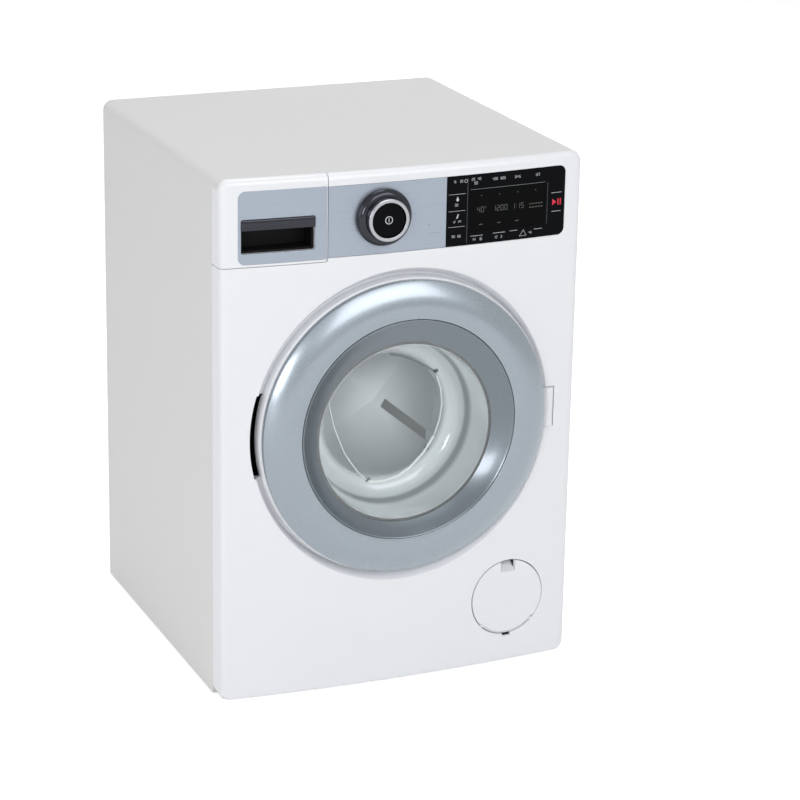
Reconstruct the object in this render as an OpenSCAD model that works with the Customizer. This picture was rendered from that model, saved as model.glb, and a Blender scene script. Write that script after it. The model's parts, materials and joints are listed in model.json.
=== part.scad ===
// Toy front-loading washing machine: cabinet, bowed front, round door, drum and drive.
// x runs to the right, y to the rear and z up; y is first measured from the plane of
// the cabinet's front corners, and from_front() then centres the whole part on the origin.

/* [Cabinet] */
// Width over the side walls
cabinet_w = 185; // [180:1:225]
// Depth from the front corners to the rear wall
cabinet_d = 180; // [170:1:220]
// Height from the floor to the top
cabinet_h = 260; // [252:1:315]
// Thickness of the top and side walls
side_t = 2.2; // [1.8:0.1:3]
// Thickness of the rear wall
rear_t = 4.4; // [4:0.1:6]
// Radius of the long top edges
corner_r = 5; // [4:0.5:8]
// Radius of the rear edges
rear_edge_r = 3.5; // [2:0.5:5]
// Gap between two mouldings
seam = 0.15; // [0.1:0.05:0.3]

/* [Front panel] */
// How far the middle of the front stands in front of its corners
front_bow = 5; // [3:0.5:8]
// Thickness of the front panel
panel_t = 2.4; // [2.2:0.1:3]
// How far the panel turns back along the sides
side_return = 10.3; // [8:0.1:14]
// How far the panel turns back along the top
top_return = 3.5; // [3:0.5:5]
// Radius of the upright front edges
edge_r = 3; // [2:0.5:4]

/* [Feet] */
// Diameter of a rubber foot
foot_d = 16; // [12:1:20]
// How far a foot stands out below the base
foot_out = 0.8; // [0.5:0.1:2]
// Thickness of the base plate
base_t = 2.4; // [2:0.1:3.5]

/* [Door] */
// Height of the door's centre above the floor
door_z = 132.4; // [126:0.2:140]
// Outer radius of the silver ring
ring_r = 73.4; // [68:0.5:78]
// Inner radius of the silver ring
ring_in_r = 55.3; // [53:0.1:58]
// Radius of the clear window
window_r = 45.5; // [40:0.5:47]
// How far the window's centre lies below the door's centre
window_drop = 3; // [0:0.5:4]
// How far the ring's crown stands in front of the cabinet corners
ring_crown = 12; // [10:0.5:12]
// How far the window bowl reaches behind the cabinet corners
bowl_depth = 23.6; // [16:0.2:28]
// Radius of the bowl's flat rear face
bowl_rear_r = 33; // [24:0.5:36]
// Depth of the well that the door closes into
well_floor = 1.5; // [1:0.1:3]
// Height of the finger slot beside the door
grip_h = 41.5; // [30:0.5:50]
// Height of the hinge knuckle
knuckle_h = 20; // [14:0.5:26]
// Radius of the hinge knuckle
knuckle_r = 2.9; // [2.6:0.1:3.3]
// Diameter of the hinge pin
hinge_pin_d = 2.06; // [1.6:0.02:2.4]

/* [Control strip] */
// Height of the strip's lower edge
strip_z = 219.6; // [216:0.2:222]
// Height of the strip
strip_h = 34.4; // [32:0.2:36]
// Right-hand edge of the strip, from the middle
strip_right = 83.2; // [78:0.2:86]
// Left-hand edge of the black panel, from the middle
panel_left = 19.6; // [17:0.2:24]
// Width of the display
display_w = 40; // [34:0.5:42]
// Height of the display
display_h = 20; // [14:0.5:22]

/* [Knob] */
// Distance of the knob from the middle
knob_x = -13; // [-16:0.5:-10]
// Diameter of the knob's skirt
skirt_d = 27.6; // [24:0.2:30]
// Diameter of the knob's cap
cap_d = 20.4; // [18:0.2:22]
// How far the cap stands in front of the cabinet corners
cap_reach = 12.6; // [11:0.1:14]
// Diameter of the hollow knob shaft
knob_shaft_d = 8; // [7:0.2:9]
// Travel of the power button
button_travel = 1.2; // [0.8:0.1:1.4]

/* [Drawer] */
// Right-hand edge of the drawer front, from the middle
drawer_right = -40.3; // [-44:0.1:-38]
// Height of the drawer front's lower edge
drawer_z = 217.8; // [214:0.1:219]
// Depth of the drawer tray
tray_d = 66; // [50:1:80]
// Width of the grip opening
pull_w = 35.6; // [28:0.2:36]
// Height of the grip opening
pull_h = 16.4; // [12:0.2:18]
// Height of the grip bar
bar_h = 5.6; // [4:0.2:7]

/* [Drum] */
// Outer radius of the drum
drum_r = 74; // [66:0.5:76]
// Length of the drum shell
drum_l = 53; // [48:1:60]
// Radius of the drum's mouth
mouth_r = 54; // [50:0.5:56]
// Wall of the drum
drum_t = 2; // [1.6:0.1:2.6]
// Radial gap between drum and tub
tub_gap = 4; // [3:0.5:5]
// Diameter of the drum shaft
shaft_d = 6; // [5:0.5:7]

/* [Drive] */
// Tooth size (pitch diameter over tooth count)
gear_m = 1.2; // [1:0.1:1.3]
// Teeth of the drum gear
drum_teeth = 50; // [40:1:54]
// Teeth of the idler's large wheel
idler_teeth = 30; // [24:1:32]
// Teeth of both pinions
pinion_teeth = 12; // [12:1:14]
// Width of a gear
gear_w = 5; // [4:0.5:6]
// Diameter of the motor
motor_d = 20; // [18:0.5:24]
// Length of the motor can
motor_l = 25; // [20:1:30]

/* [Batteries] */
// Cells side by side
cell_count = 4; // [2:1:4]
// Diameter of a cell
cell_d = 14.2; // [13.5:0.1:14.5]
// Length of a cell
cell_l = 50.5; // [44:0.5:51]

/* [Service flap] */
// Distance of the flap's centre from the middle
flap_x = 58.3; // [55:0.1:62]
// Height of the flap's centre
flap_z = 34.7; // [32:0.1:38]
// Diameter of the flap
flap_d = 39; // [34:0.5:40]

/* [Hidden] */

big = 400;                  // longer than the part in every direction
half_w = cabinet_w / 2;
inner_w = half_w - side_t;  // half of the width between the side walls
top_in = cabinet_h - side_t;
bow_r = (half_w * half_w + front_bow * front_bow) / (2 * front_bow);
bow_y = bow_r - front_bow;  // centre of the bowed front's arc
front_y = (cap_reach - cabinet_d) / 2;
base_z = foot_out;
base_top = base_z + base_t;
run_gap = 0.07;             // radial running clearance of a pin or shaft
move_gap = 0.3;             // gap between pieces that pass each other
fn_big = 1440;

// y of the bowed front, at depth d behind its surface
function bow_at(x, d = 0) = bow_y - sqrt((bow_r - d) * (bow_r - d) - x * x);

module from_front() { translate([0, front_y, 0]) children(); }
// local z becomes y, local y becomes -z
module along_y(x, z, y = 0) { translate([x, y, z]) rotate([-90, 0, 0]) children(); }
module at_door(drop = 0) { along_y(0, door_z - drop) children(); }
// a solid of revolution about y whose profile holds [radius, y] points
module turned(points, fn = 180) { rotate_extrude($fn = fn) polygon(points); }
// an upright x-z outline made as deep as the whole part
module through_y() { translate([0, -big / 2, 0]) rotate([-90, 0, 0]) mirror([0, 1, 0])
    linear_extrude(big) children(); }
module span(x0, x1, y0, y1, z0, z1) { translate([x0, y0, z0]) cube([x1 - x0, y1 - y0, z1 - z0]); }
module disc(r, y0, y1, fn = 96) { translate([0, 0, y0]) cylinder(r = r, h = y1 - y0, $fn = fn); }
module tube(r_in, r_out, y0, y1, fn = 96) {
    difference() {
        disc(r_out, y0, y1, fn);
        disc(r_in, y0 - 1, y1 + 1, fn);
    }
}
// an x-z rectangle with rounded corners
module round_rect(x0, x1, z0, z1, r) {
    translate([x0 + r, z0]) square([x1 - x0 - 2 * r, z1 - z0]);
    translate([x0, z0 + r]) square([x1 - x0, z1 - z0 - 2 * r]);
    for (x = [x0 + r, x1 - r], z = [z0 + r, z1 - r]) translate([x, z]) circle(r, $fn = 48);
}
// everything between two depths behind the bowed front surface
module bow_layer(near, far) {
    difference() {
        translate([0, bow_y, -1]) cylinder(r = bow_r - near, h = cabinet_h + 2, $fn = fn_big);
        translate([0, bow_y, -2]) cylinder(r = bow_r - far, h = cabinet_h + 4, $fn = fn_big);
    }
}
// a curved plate of the front: an x-z outline kept between two depths
module bowed_plate(near, far) {
    intersection() {
        bow_layer(near, far);
        intersection() {
            span(-half_w, half_w, -front_bow - 1, half_w / 4, 0, cabinet_h);
            through_y() children();
        }
    }
}

/* ---- Front mouldings ---- */
bow_edge_x = half_w - edge_r;
bow_edge_y = bow_y - sqrt((bow_r - edge_r) * (bow_r - edge_r) - bow_edge_x * bow_edge_x);
// plan of the front moulding: bowed front, rounded front corners, straight sides
module front_plan() {
    tangent_x = bow_edge_x * bow_r / (bow_r - edge_r);
    intersection() {
        translate([0, bow_y]) circle(r = bow_r, $fn = fn_big);
        translate([-tangent_x, -front_bow - 1]) square([2 * tangent_x, 2 * side_return + 2]);
    }
    for (side = [-1, 1]) translate([side * bow_edge_x, bow_edge_y]) circle(r = edge_r, $fn = 64);
    translate([-half_w, bow_edge_y]) square([cabinet_w, 2 * side_return]);
}
// solid block of the front with all its outer roundings and returns
module front_block() {
    crown_r = top_return;
    intersection() {
        linear_extrude(cabinet_h) front_plan();
        through_y() round_rect(-half_w, half_w, base_z, cabinet_h, corner_r);
        translate([0, bow_y, 0]) rotate_extrude($fn = fn_big) {
            translate([bow_r - 40, 0]) square([40, cabinet_h - crown_r]);
            translate([bow_r - 40, 0]) square([40 - crown_r, cabinet_h]);
            translate([bow_r - crown_r, cabinet_h - crown_r]) circle(crown_r, $fn = 64);
        }
        union() {
            span(-half_w, half_w, -front_bow - 1, side_return, 0, cabinet_h - corner_r - seam);
            bow_layer(-1, top_return);
        }
    }
}
// the space behind the front's skin
module front_hollow(z0 = -1) {
    intersection() {
        translate([0, bow_y, z0]) cylinder(r = bow_r - panel_t, h = cabinet_h - panel_t - z0, $fn = fn_big);
        span(-half_w + side_t, half_w - side_t, -front_bow, side_return + 1, z0, cabinet_h - panel_t);
    }
}
module drawer_corner(gap = 0) {
    corner = 1.5;
    x1 = drawer_right - gap;
    z0 = drawer_z + gap;
    translate([-half_w - 1, z0]) square([x1 + half_w + 1 - corner, cabinet_h]);
    translate([-half_w - 1, z0 + corner]) square([x1 + half_w + 1, cabinet_h]);
    translate([x1 - corner, z0 + corner]) circle(corner, $fn = 48);
}
strip_depth = 1.6;
strip_left = drawer_right;
strip_top = strip_z + strip_h;
strip_r = 3.5;
module strip_outline(inset = 0) {
    translate([strip_left, strip_z + inset])
        square([strip_right - strip_r - strip_left, strip_h - 2 * inset]);
    round_rect(strip_left + 10, strip_right - inset, strip_z + inset, strip_top - inset, strip_r - inset);
}
display_x = panel_left + 12.3;
display_z = strip_z + 6.6;
knob_z = strip_z + strip_h / 2 + 0.7;

/* ---- Door well, hinge and finger slot ---- */
body_r = ring_r + 1;                // white backing of the door
well_r = body_r + 1;                // well at its floor
well_open_r = well_r + 3.9;         // well in front of the crown
well_open_y = -front_bow - 1;
floor_back = well_floor + panel_t;
front_hole_r = ring_in_r + 2.7;
hinge_x = ring_r + 4.6;
hinge_y = -0.2;
knuckle_z0 = door_z - knuckle_h / 2;
pin_over = 4;                       // how far the pin enters the panel at each end
grip_z = door_z + 1.8;              // middle of the finger slot
grip_back = 2;                      // rear edge of the door's finger flange
slot_r = well_r + 3.4;              // outer edge of the finger slot
cup_in_x = -(body_r + 4.5);
cup_right_x = -(ring_r - 4);
latch_x = -(ring_r - 7.9);
latch_w = 8;
module door_well() {
    at_door() {
        translate([0, 0, well_open_y])
            cylinder(r1 = well_open_r, r2 = well_r, h = well_floor - well_open_y, $fn = 180);
    }
}
module grip_slot(y0, y1, grow = 0) {
    intersection() {
        span(cup_in_x - grow, cup_right_x + grow, y0, y1,
             grip_z - grip_h / 2 - grow, grip_z + grip_h / 2 + grow);
        at_door() disc(slot_r + grow, y0, y1);
    }
}
module hinge_pocket() {
    span(ring_r - 1, hinge_x, well_open_y, hinge_y + knuckle_r + move_gap,
         knuckle_z0 - move_gap, knuckle_z0 + knuckle_h + move_gap);
    translate([hinge_x, hinge_y, knuckle_z0 - move_gap])
        cylinder(r = knuckle_r + move_gap, h = knuckle_h + 2 * move_gap, $fn = 64);
    span(hinge_x - 1, hinge_x + knuckle_r + move_gap, well_open_y, hinge_y,
         knuckle_z0 - move_gap, knuckle_z0 + knuckle_h + move_gap);
}
hinge_pin_r = hinge_pin_d / 2;

/* ---- Flap place ---- */
flap_r = flap_d / 2;
flap_gap = 0.4;
flap_t = 2;
flap_tilt = asin(flap_x / bow_r);
flap_bevel = 1.3;           // of its lower front edge, which swings into the hole
flap_hinge_y = 0.9;
flap_hinge_z = -(flap_r - 5.5);
flap_pin_r = 0.5;
flap_pin_l = 2 * sqrt(pow(flap_r + flap_gap, 2) - pow(flap_hinge_z, 2)) + 4;
cup_depth = 15;
module at_flap() { translate([flap_x, bow_at(flap_x), flap_z]) rotate([0, 0, flap_tilt]) children(); }
module flap_disc(r, y0, y1) { rotate([-90, 0, 0]) disc(r, y0, y1); }

/* ---- Circuit board place ---- */
board_y = 13.6;
board_t = 1.6;
board_x0 = knob_x - 13;
board_x1 = strip_right - 1.2;
board_z0 = strip_z + 2;
board_z1 = top_in - 1.8;
post_r = 2.6;
board_posts = [for (x = [board_x0 + 3.4, board_x1 - 3.4], z = [board_z0 + 3.4, board_z1 - 3.4]) [x, z]];
screw_r = 1.2;
screw_bore_r = screw_r + 0.05;
module on_posts() { for (p = board_posts) along_y(p[0], p[1]) children(); }

module cabinet_shell() {
    color("white") from_front() difference() {
        union() {
            difference() {
                intersection() {
                    through_y() difference() {
                        round_rect(-half_w, half_w, base_z - corner_r, cabinet_h, corner_r);
                        translate([-half_w, base_z - corner_r]) square([cabinet_w, corner_r]);
                    }
                    linear_extrude(cabinet_h) shell_plan();
                    translate([-half_w, 0, 0]) rotate([90, 0, 90]) linear_extrude(cabinet_w) shell_side();
                }
                span(-inner_w, inner_w, -big, cabinet_d - rear_t, -1, top_in);
            }
            for (p = cover_screws) along_y(p[0], p[1])
                disc(4, cabinet_d - rear_t - 12, cabinet_d - rear_t + 0.5, 48);
        }
        span(-half_w - 1, half_w + 1, -big, side_return + seam, -1, cabinet_h - corner_r);
        bow_front_cut();
        through_y_rear();
        for (p = cover_screws) along_y(p[0], p[1])
            disc(screw_bore_r, cabinet_d - rear_t - 10, cabinet_d, 32);
    }
}
module shell_plan() {
    translate([-half_w, -front_bow - 1]) square([cabinet_w, cabinet_d + front_bow + 1 - rear_edge_r]);
    translate([-half_w + rear_edge_r, 0]) square([cabinet_w - 2 * rear_edge_r, cabinet_d]);
    for (side = [-1, 1]) translate([side * (half_w - rear_edge_r), cabinet_d - rear_edge_r])
        circle(rear_edge_r, $fn = 64);
}
// y-z outline with a rounded top rear edge
module shell_side() {
    translate([-front_bow - 1, 0]) square([cabinet_d + front_bow + 1 - rear_edge_r, cabinet_h]);
    translate([0, 0]) square([cabinet_d, cabinet_h - rear_edge_r]);
    translate([cabinet_d - rear_edge_r, cabinet_h - rear_edge_r]) circle(rear_edge_r, $fn = 64);
}
module bow_front_cut() {
    difference() {
        span(-half_w - 1, half_w + 1, -big, side_return + seam + 1, cabinet_h - corner_r - 1, cabinet_h + 1);
        translate([0, bow_y, 0])
            cylinder(r = bow_r - top_return - seam, h = cabinet_h + 2, $fn = fn_big);
    }
}
cover_t = 2.6;
cover_gap = 0.2;
cover_x = half_w - 18.5;
cover_z0 = 20;
cover_z1 = cabinet_h - 20;
cover_ledge = 4;
cover_lug = 16;
cover_screws = [for (x = [-1, 1] * (cover_x - 11), z = [cover_z0 + 11, cover_z1 - 11]) [x, z]];
module through_y_rear() {
    span(-cover_x, cover_x, cabinet_d - cover_t, cabinet_d + 1, cover_z0, cover_z1);
    x1 = cover_x - cover_ledge;
    z0 = cover_z0 + cover_ledge;
    z1 = cover_z1 - cover_ledge;
    span(-x1, x1, cabinet_d - rear_t - 1, cabinet_d, z0 + cover_lug, z1 - cover_lug);
    span(-x1 + cover_lug, x1 - cover_lug, cabinet_d - rear_t - 1, cabinet_d, z0, z1);
}
speaker_x = 34;
speaker_z = cover_z0 + 52;
speaker_r = 16;
module rear_cover() {
    color("whitesmoke") from_front() difference() {
        span(-cover_x + cover_gap, cover_x - cover_gap, cabinet_d - cover_t, cabinet_d,
             cover_z0 + cover_gap, cover_z1 - cover_gap);
        for (p = cover_screws) along_y(p[0], p[1]) {
            disc(1.6, cabinet_d - cover_t - 1, cabinet_d + 1, 32);
            disc(3.3, cabinet_d - 1.5, cabinet_d + 1, 48);
        }
        for (k = [-3:3]) {
            reach = sqrt(pow(speaker_r - 3, 2) - pow(k * 3.6, 2));
            span(speaker_x - reach, speaker_x + reach, cabinet_d - cover_t - 1, cabinet_d + 1,
                 speaker_z + k * 3.6 - 0.8, speaker_z + k * 3.6 + 0.8);
        }
        for (k = [0:7]) span(-24, 24, cabinet_d - cover_t - 1, cabinet_d + 1,
            cover_z1 - 30 - k * 6, cover_z1 - 28 - k * 6);
    }
}
module case_screws() {
    color("silver") from_front() for (p = cover_screws) along_y(p[0], p[1])
        cross_screw(cabinet_d - 0.1, 3, 1.4, 11);
}
// a screw whose head top lies at y1, with its shank running to the front
module cross_screw(y1, head_r, head_h, shank) {
    difference() {
        union() {
            disc(head_r, y1 - head_h, y1, 48);
            disc(screw_r, y1 - head_h - shank, y1 - head_h, 32);
        }
        for (a = [0, 90]) rotate(a) translate([-head_r * 0.6, -0.3, y1 - 0.7]) cube([head_r * 1.2, 0.6, 2]);
    }
}

module front_panel() {
    color("white") from_front() difference() {
        union() {
            difference() {
                front_block();
                front_hollow();
            }
            intersection() {
                union() {
                    at_door() disc(well_r + panel_t, -front_bow, floor_back, 180);
                    span(ring_r - 4, half_w - side_t + 0.2, -front_bow, hinge_y + knuckle_r + 3,
                         knuckle_z0 - pin_over - 3, knuckle_z0 + knuckle_h + pin_over + 3);
                    along_y(knob_x, knob_z) disc(7, -front_bow, 2);
                    on_posts() disc(post_r, -front_bow, board_y, 48);
                }
                bow_layer(0.5, 60);
            }
        }
        door_well();
        at_door() disc(front_hole_r, -10, 20, 180);
        grip_slot(-10, 20);
        span(latch_x - 3, latch_x + 3, -10, 20, door_z - latch_w / 2 - 2, door_z + latch_w / 2 + 2);
        hinge_pocket();
        translate([hinge_x, hinge_y, knuckle_z0 - pin_over])
            cylinder(r = hinge_pin_r + 0.02, h = knuckle_h + 2 * pin_over, $fn = 32);
        through_y() drawer_corner();
        intersection() {
            bow_layer(-2, strip_depth);
            span(strip_left - 1, half_w, -10, 20, 0, cabinet_h);
            through_y() strip_outline();
        }
        along_y(knob_x, knob_z) disc(knob_shaft_d / 2 + run_gap, -10, 20, 64);
        on_posts() disc(screw_bore_r, board_y - 8, board_y + 1, 32);
        span(display_x - 2, display_x + display_w + 2, -10, 12, display_z - 2, display_z + display_h + 2);
        at_flap() {
            flap_disc(flap_r + flap_gap, -5, 12);
            translate([-2.1, -5, -flap_r - 2.1]) cube([4.2, 12, 4]);
            translate([-flap_pin_l / 2 - 0.1, flap_hinge_y, flap_hinge_z]) rotate([0, 90, 0])
                cylinder(r = flap_pin_r + run_gap, h = flap_pin_l + 0.2, $fn = 32);
        }
    }
}

battery_x0 = -64;
cell_pitch = cell_d + 1.2;
box_wall = 1.6;
lug_y = 9;
lug_wall = 2;
battery_y0 = cabinet_d - rear_t - 0.8 - lug_y - lug_wall - cell_count * cell_pitch - 2 * box_wall - 0.4;
battery_x1 = battery_x0 + cell_l + 4.3 + 2 * box_wall;
battery_y1 = battery_y0 + cell_count * cell_pitch + 2 * box_wall + 0.4;
battery_mid_x = (battery_x0 + battery_x1) / 2;
lug_screw_y = battery_y1 + lug_y / 2 + 0.4;
cell_z = base_top + 0.9 + cell_d / 2;
function cell_y(k) = battery_y0 + box_wall + 0.2 + (k + 0.5) * cell_pitch;
lid_gap = 0.3;
feet = [for (x = [-1, 1] * (half_w - 20), y = [24, cabinet_d - 20]) [x, y]];
module base_plate() {
    color("gainsboro") from_front() difference() {
        intersection() {
            span(-inner_w + seam, inner_w - seam, -front_bow, cabinet_d - rear_t - seam, base_z, base_top);
            translate([0, bow_y, 0]) cylinder(r = bow_r - panel_t - seam, h = cabinet_h, $fn = fn_big);
        }
        for (p = feet) translate([p[0], p[1], base_z - 1]) cylinder(d = foot_d + 0.3, h = 2.2, $fn = 64);
        span(battery_x0 + box_wall, battery_x1 - box_wall, battery_y0 + box_wall, battery_y1 + lug_y,
             base_z - 1, base_top + 1);
    }
}
module rubber_feet() {
    color("dimgray") from_front() for (p = feet) translate([p[0], p[1], 0])
        cylinder(d = foot_d, h = foot_out + 1.2, $fn = 64);
}
module battery_box() {
    color("gray") from_front() difference() {
        span(battery_x0, battery_x1, battery_y0, battery_y1 + lug_y + lug_wall,
             base_top, cell_z + cell_d / 2 + 2.2);
        span(battery_x0 + box_wall, battery_x1 - box_wall, battery_y0 + box_wall, battery_y1 - box_wall,
             base_top - 1, cell_z + cell_d / 2 + 0.6);
        translate([battery_mid_x, lug_screw_y, base_top - 1])
            cylinder(r = screw_bore_r, h = 12, $fn = 32);
    }
}
module batteries() {
    color("goldenrod") from_front() for (k = [0:cell_count - 1])
        translate([battery_mid_x, cell_y(k), cell_z])
        rotate([0, k % 2 == 0 ? 90 : -90, 0]) {
            translate([0, 0, -cell_l / 2]) cylinder(d = cell_d, h = cell_l - 1, $fn = 64);
            translate([0, 0, cell_l / 2 - 1]) cylinder(d = 5.5, h = 1, $fn = 48);
        }
}
module battery_contacts() {
    plate = 0.5;
    color("silver") from_front() for (k = [0:cell_count - 1], side = [-1, 1])
        translate([battery_mid_x, cell_y(k), cell_z])
        mirror([side < 0 ? 1 : 0, 0, 0]) {
            inside = (battery_x1 - battery_x0) / 2 - box_wall;
            translate([inside - plate, -5, -5]) cube([plate, 10, 10]);
            translate([cell_l / 2 + 0.05, 0, 0]) rotate([0, 90, 0])
                cylinder(r1 = 2, r2 = 3.5, h = inside - plate - cell_l / 2 - 0.05, $fn = 32);
        }
}
module battery_cover() {
    color("gainsboro") from_front() difference() {
        span(battery_x0 + box_wall + lid_gap, battery_x1 - box_wall - lid_gap,
             battery_y0 + box_wall + lid_gap, battery_y1 + lug_y - lid_gap, base_z, base_top);
        translate([battery_mid_x, lug_screw_y, base_z - 1]) {
            cylinder(r = 1.6, h = 6, $fn = 32);
            cylinder(r = 3.2, h = 2.3, $fn = 48);
        }
    }
}
module cover_screw() {
    color("silver") from_front()
        translate([battery_mid_x, lug_screw_y, base_z + 0.1])
        rotate([180, 0, 0]) cross_screw(0, 2.9, 1.2, 8);
}
module speaker() {
    color("dimgray") from_front() along_y(speaker_x, speaker_z, cabinet_d - cover_t - 7.6) turned([
        [0, 0], [9, 0], [9, 4], [13, 6], [speaker_r, 6.4], [speaker_r, 7.6], [13, 7.6], [5, 5.4], [0, 5.4],
    ]);
}

/* ---- Control strip ---- */
skin_gap = 0.05;
display_recess = 0.8;
module display_outline(inset = 0) {
    translate([display_x + inset, display_z + inset]) square([display_w - 2 * inset, display_h - 2 * inset]);
}
module fascia_plate() {
    color("lightsteelblue") from_front() difference() {
        bowed_plate(0.4, strip_depth - skin_gap)
            translate([strip_left + seam, strip_z + seam])
            square([panel_left - strip_left - 2 * seam, strip_h - 2 * seam]);
        along_y(knob_x, knob_z) disc(knob_shaft_d / 2 + 1, -10, 5, 64);
    }
}
module control_panel() {
    color([0.05, 0.05, 0.07]) from_front() difference() {
        bowed_plate(0, strip_depth - skin_gap) intersection() {
            strip_outline(seam);
            translate([panel_left, 0]) square([half_w, cabinet_h]);
        }
        intersection() {
            bow_layer(-2, display_recess);
            through_y() display_outline();
        }
        through_y() display_outline(1.5);
    }
}
module display_lens() {
    color([0.03, 0.03, 0.03]) from_front()
        bowed_plate(skin_gap, display_recess - skin_gap) display_outline(0.1);
}
module display_module() {
    color("darkslategray") from_front()
        span(display_x + 1, display_x + display_w - 1, -0.2, board_y,
             display_z + 1, display_z + display_h - 1);
}
module circuit_board() {
    color("darkgreen") from_front() difference() {
        span(board_x0, board_x1, board_y, board_y + board_t, board_z0, board_z1);
        on_posts() disc(screw_r + 0.2, board_y - 1, board_y + board_t + 1, 32);
    }
}
module board_screws() {
    color("silver") from_front() on_posts() cross_screw(board_y + board_t + 1.4, 2.4, 1.4, 8);
}

/* ---- Knob and power button ---- */
cap_r = cap_d / 2;
skirt_r = skirt_d / 2;
knob_shaft_r = knob_shaft_d / 2;
stem_r = 1.9;
stem_gap = 0.3;
rim_t = 1.2;
knob_floor = cap_reach - 5.2;
knob_floor_t = 1.6;
shaft_end = 9.5;
button_face = cap_reach - 0.7;
button_t = 1.5;
switch_top = 10.1;
stem_end = switch_top - button_travel - 0.05;
module at_knob() { along_y(knob_x, knob_z) children(); }
module knob_body() {
    edge = 0.5;
    color("silver") from_front() at_knob() turned([
        [stem_r + stem_gap, shaft_end], [knob_shaft_r, shaft_end], [knob_shaft_r, -knob_floor],
        [cap_r, -knob_floor], [cap_r, -cap_reach + edge], [cap_r - edge, -cap_reach],
        [cap_r - rim_t + 0.3, -cap_reach], [cap_r - rim_t, -cap_reach + 0.3],
        [cap_r - rim_t, -knob_floor - knob_floor_t], [stem_r + stem_gap, -knob_floor - knob_floor_t],
    ]);
}
module knob_skirt() {
    back = -bow_at(0, 0.4) + 0.3;
    bore = cap_r + 0.08;
    color("dimgray") from_front() at_knob() turned([
        [knob_shaft_r + 0.06, -back], [skirt_r - 0.8, -back], [skirt_r, -back - 0.8], [skirt_r, -back - 1.7],
        [skirt_r - 0.6, -back - 2.7], [skirt_r - 1.9, -back - 3.5], [bore, -back - 3.9],
        [bore, -knob_floor + 0.02], [knob_shaft_r + 0.06, -knob_floor + 0.02],
    ]);
}
module knob_clip() {
    color("silver") from_front() at_knob() tube(knob_shaft_r + 0.02, knob_shaft_r + 2, 2.3, 3.5);
}
module power_button() {
    color([0.05, 0.05, 0.06]) from_front() at_knob()
        disc(cap_r - rim_t - move_gap, -button_face, -button_face + button_t);
}
module button_stem() {
    color("gray") from_front() at_knob() disc(stem_r, -button_face + button_t, stem_end, 48);
}
module programme_switch() {
    side = 18;
    color("gray") from_front() difference() {
        span(knob_x - side / 2, knob_x + side / 2, 7, board_y, knob_z - side / 2, knob_z + side / 2);
        at_knob() disc(knob_shaft_r + move_gap, 6, board_y + 1, 64);
    }
}
module power_switch() {
    color("black") from_front() at_knob() {
        disc(3, switch_top + 1.1, board_y, 48);
        disc(1.6, switch_top, switch_top + 1.2, 48);
    }
}

/* ---- Door ---- */
body_front = -4.9;
body_back = well_floor - move_gap;
ring_t = 1.8;
ring_dome_r = 22;
ring_crown_r = ring_in_r + 4.7;
flange_t = 1.5;
flange_r = window_r + 3;
bowl_t = 1.6;
bowl_steps = 8;
module door_body() {
    color("white") from_front() difference() {
        union() {
            at_door() difference() {
                disc(body_r, body_front, body_back, 180);
                translate([0, window_drop, 0]) {
                    disc(window_r + 0.8, -10, 10, 180);
                    disc(flange_r + 0.2, -10, body_front + flange_t + 0.1, 180);
                }
            }
            intersection() {
                at_door() tube(body_r - 2, body_r, body_front, grip_back, 180);
                span(-body_r - 1, cup_right_x, -10, 20, grip_z - grip_h / 2 + 0.8, grip_z + grip_h / 2 - 0.8);
            }
            translate([hinge_x, hinge_y, knuckle_z0]) cylinder(r = knuckle_r, h = knuckle_h, $fn = 64);
            span(ring_r - 3, hinge_x, hinge_y - 1.2, hinge_y + 1.2, knuckle_z0, knuckle_z0 + knuckle_h);
        }
        translate([hinge_x, hinge_y, -1]) cylinder(r = hinge_pin_r + run_gap, h = cabinet_h, $fn = 32);
    }
}
module dome_profile(inset) {
    intersection() {
        translate([ring_crown_r, ring_dome_r - ring_crown]) circle(ring_dome_r - inset, $fn = 720);
        translate([ring_in_r + inset, -ring_crown - 1])
            square([ring_r - ring_in_r - 2 * inset, ring_crown + 1 + body_front + inset]);
    }
}
module door_ring() {
    color("silver") from_front() at_door() rotate_extrude($fn = 180) difference() {
        dome_profile(0);
        dome_profile(ring_t);
    }
}
module bevel_cone(r0, y0, r1, y1) {
    hull() {
        disc(r0, y0 - 0.05, y0, 96);
        translate([0, window_drop, 0]) disc(r1, y1, y1 + 0.05, 96);
    }
}
module door_bevel() {
    lip = 0.6;
    color("dimgray") from_front() at_door() difference() {
        bevel_cone(ring_in_r - 0.2, -ring_crown + 0.5, window_r + 1.6, body_front - 0.15);
        bevel_cone(ring_in_r - 0.2 - lip, -ring_crown + 0.3, window_r, body_front + 0.1);
    }
}
// the bowl's outer radius falls from the flange to the flat rear face along a quarter ellipse
function bowl_point(k, inset) =
    let (a = 90 * k / bowl_steps, y0 = body_front + flange_t, y1 = bowl_depth - inset)
    [bowl_rear_r - inset + (window_r - bowl_rear_r) * pow(cos(a), 0.7),
     y0 + (y1 - y0) * pow(sin(a), 0.8)];
module door_window() {
    y0 = body_front + 0.1;
    color([0.8, 0.85, 0.85, 0.4]) from_front() at_door(window_drop) turned(concat(
        [[flange_r, y0], [flange_r, body_front + flange_t]],
        [for (k = [0:bowl_steps]) bowl_point(k, 0)],
        [[0, bowl_depth], [0, bowl_depth - bowl_t]],
        [for (k = [bowl_steps:-1:0]) bowl_point(k, bowl_t)],
        [[window_r - bowl_t, y0]]));
}
module door_latch() {
    bulb_y = 6;
    color("white") from_front() {
        span(latch_x - 1.2, latch_x + 1.2, body_back, bulb_y, door_z - 2.2, door_z + 2.2);
        translate([latch_x - 1.2, bulb_y, door_z]) rotate([0, 90, 0])
            cylinder(d = latch_w, h = 2.4, $fn = 64);
    }
}
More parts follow.
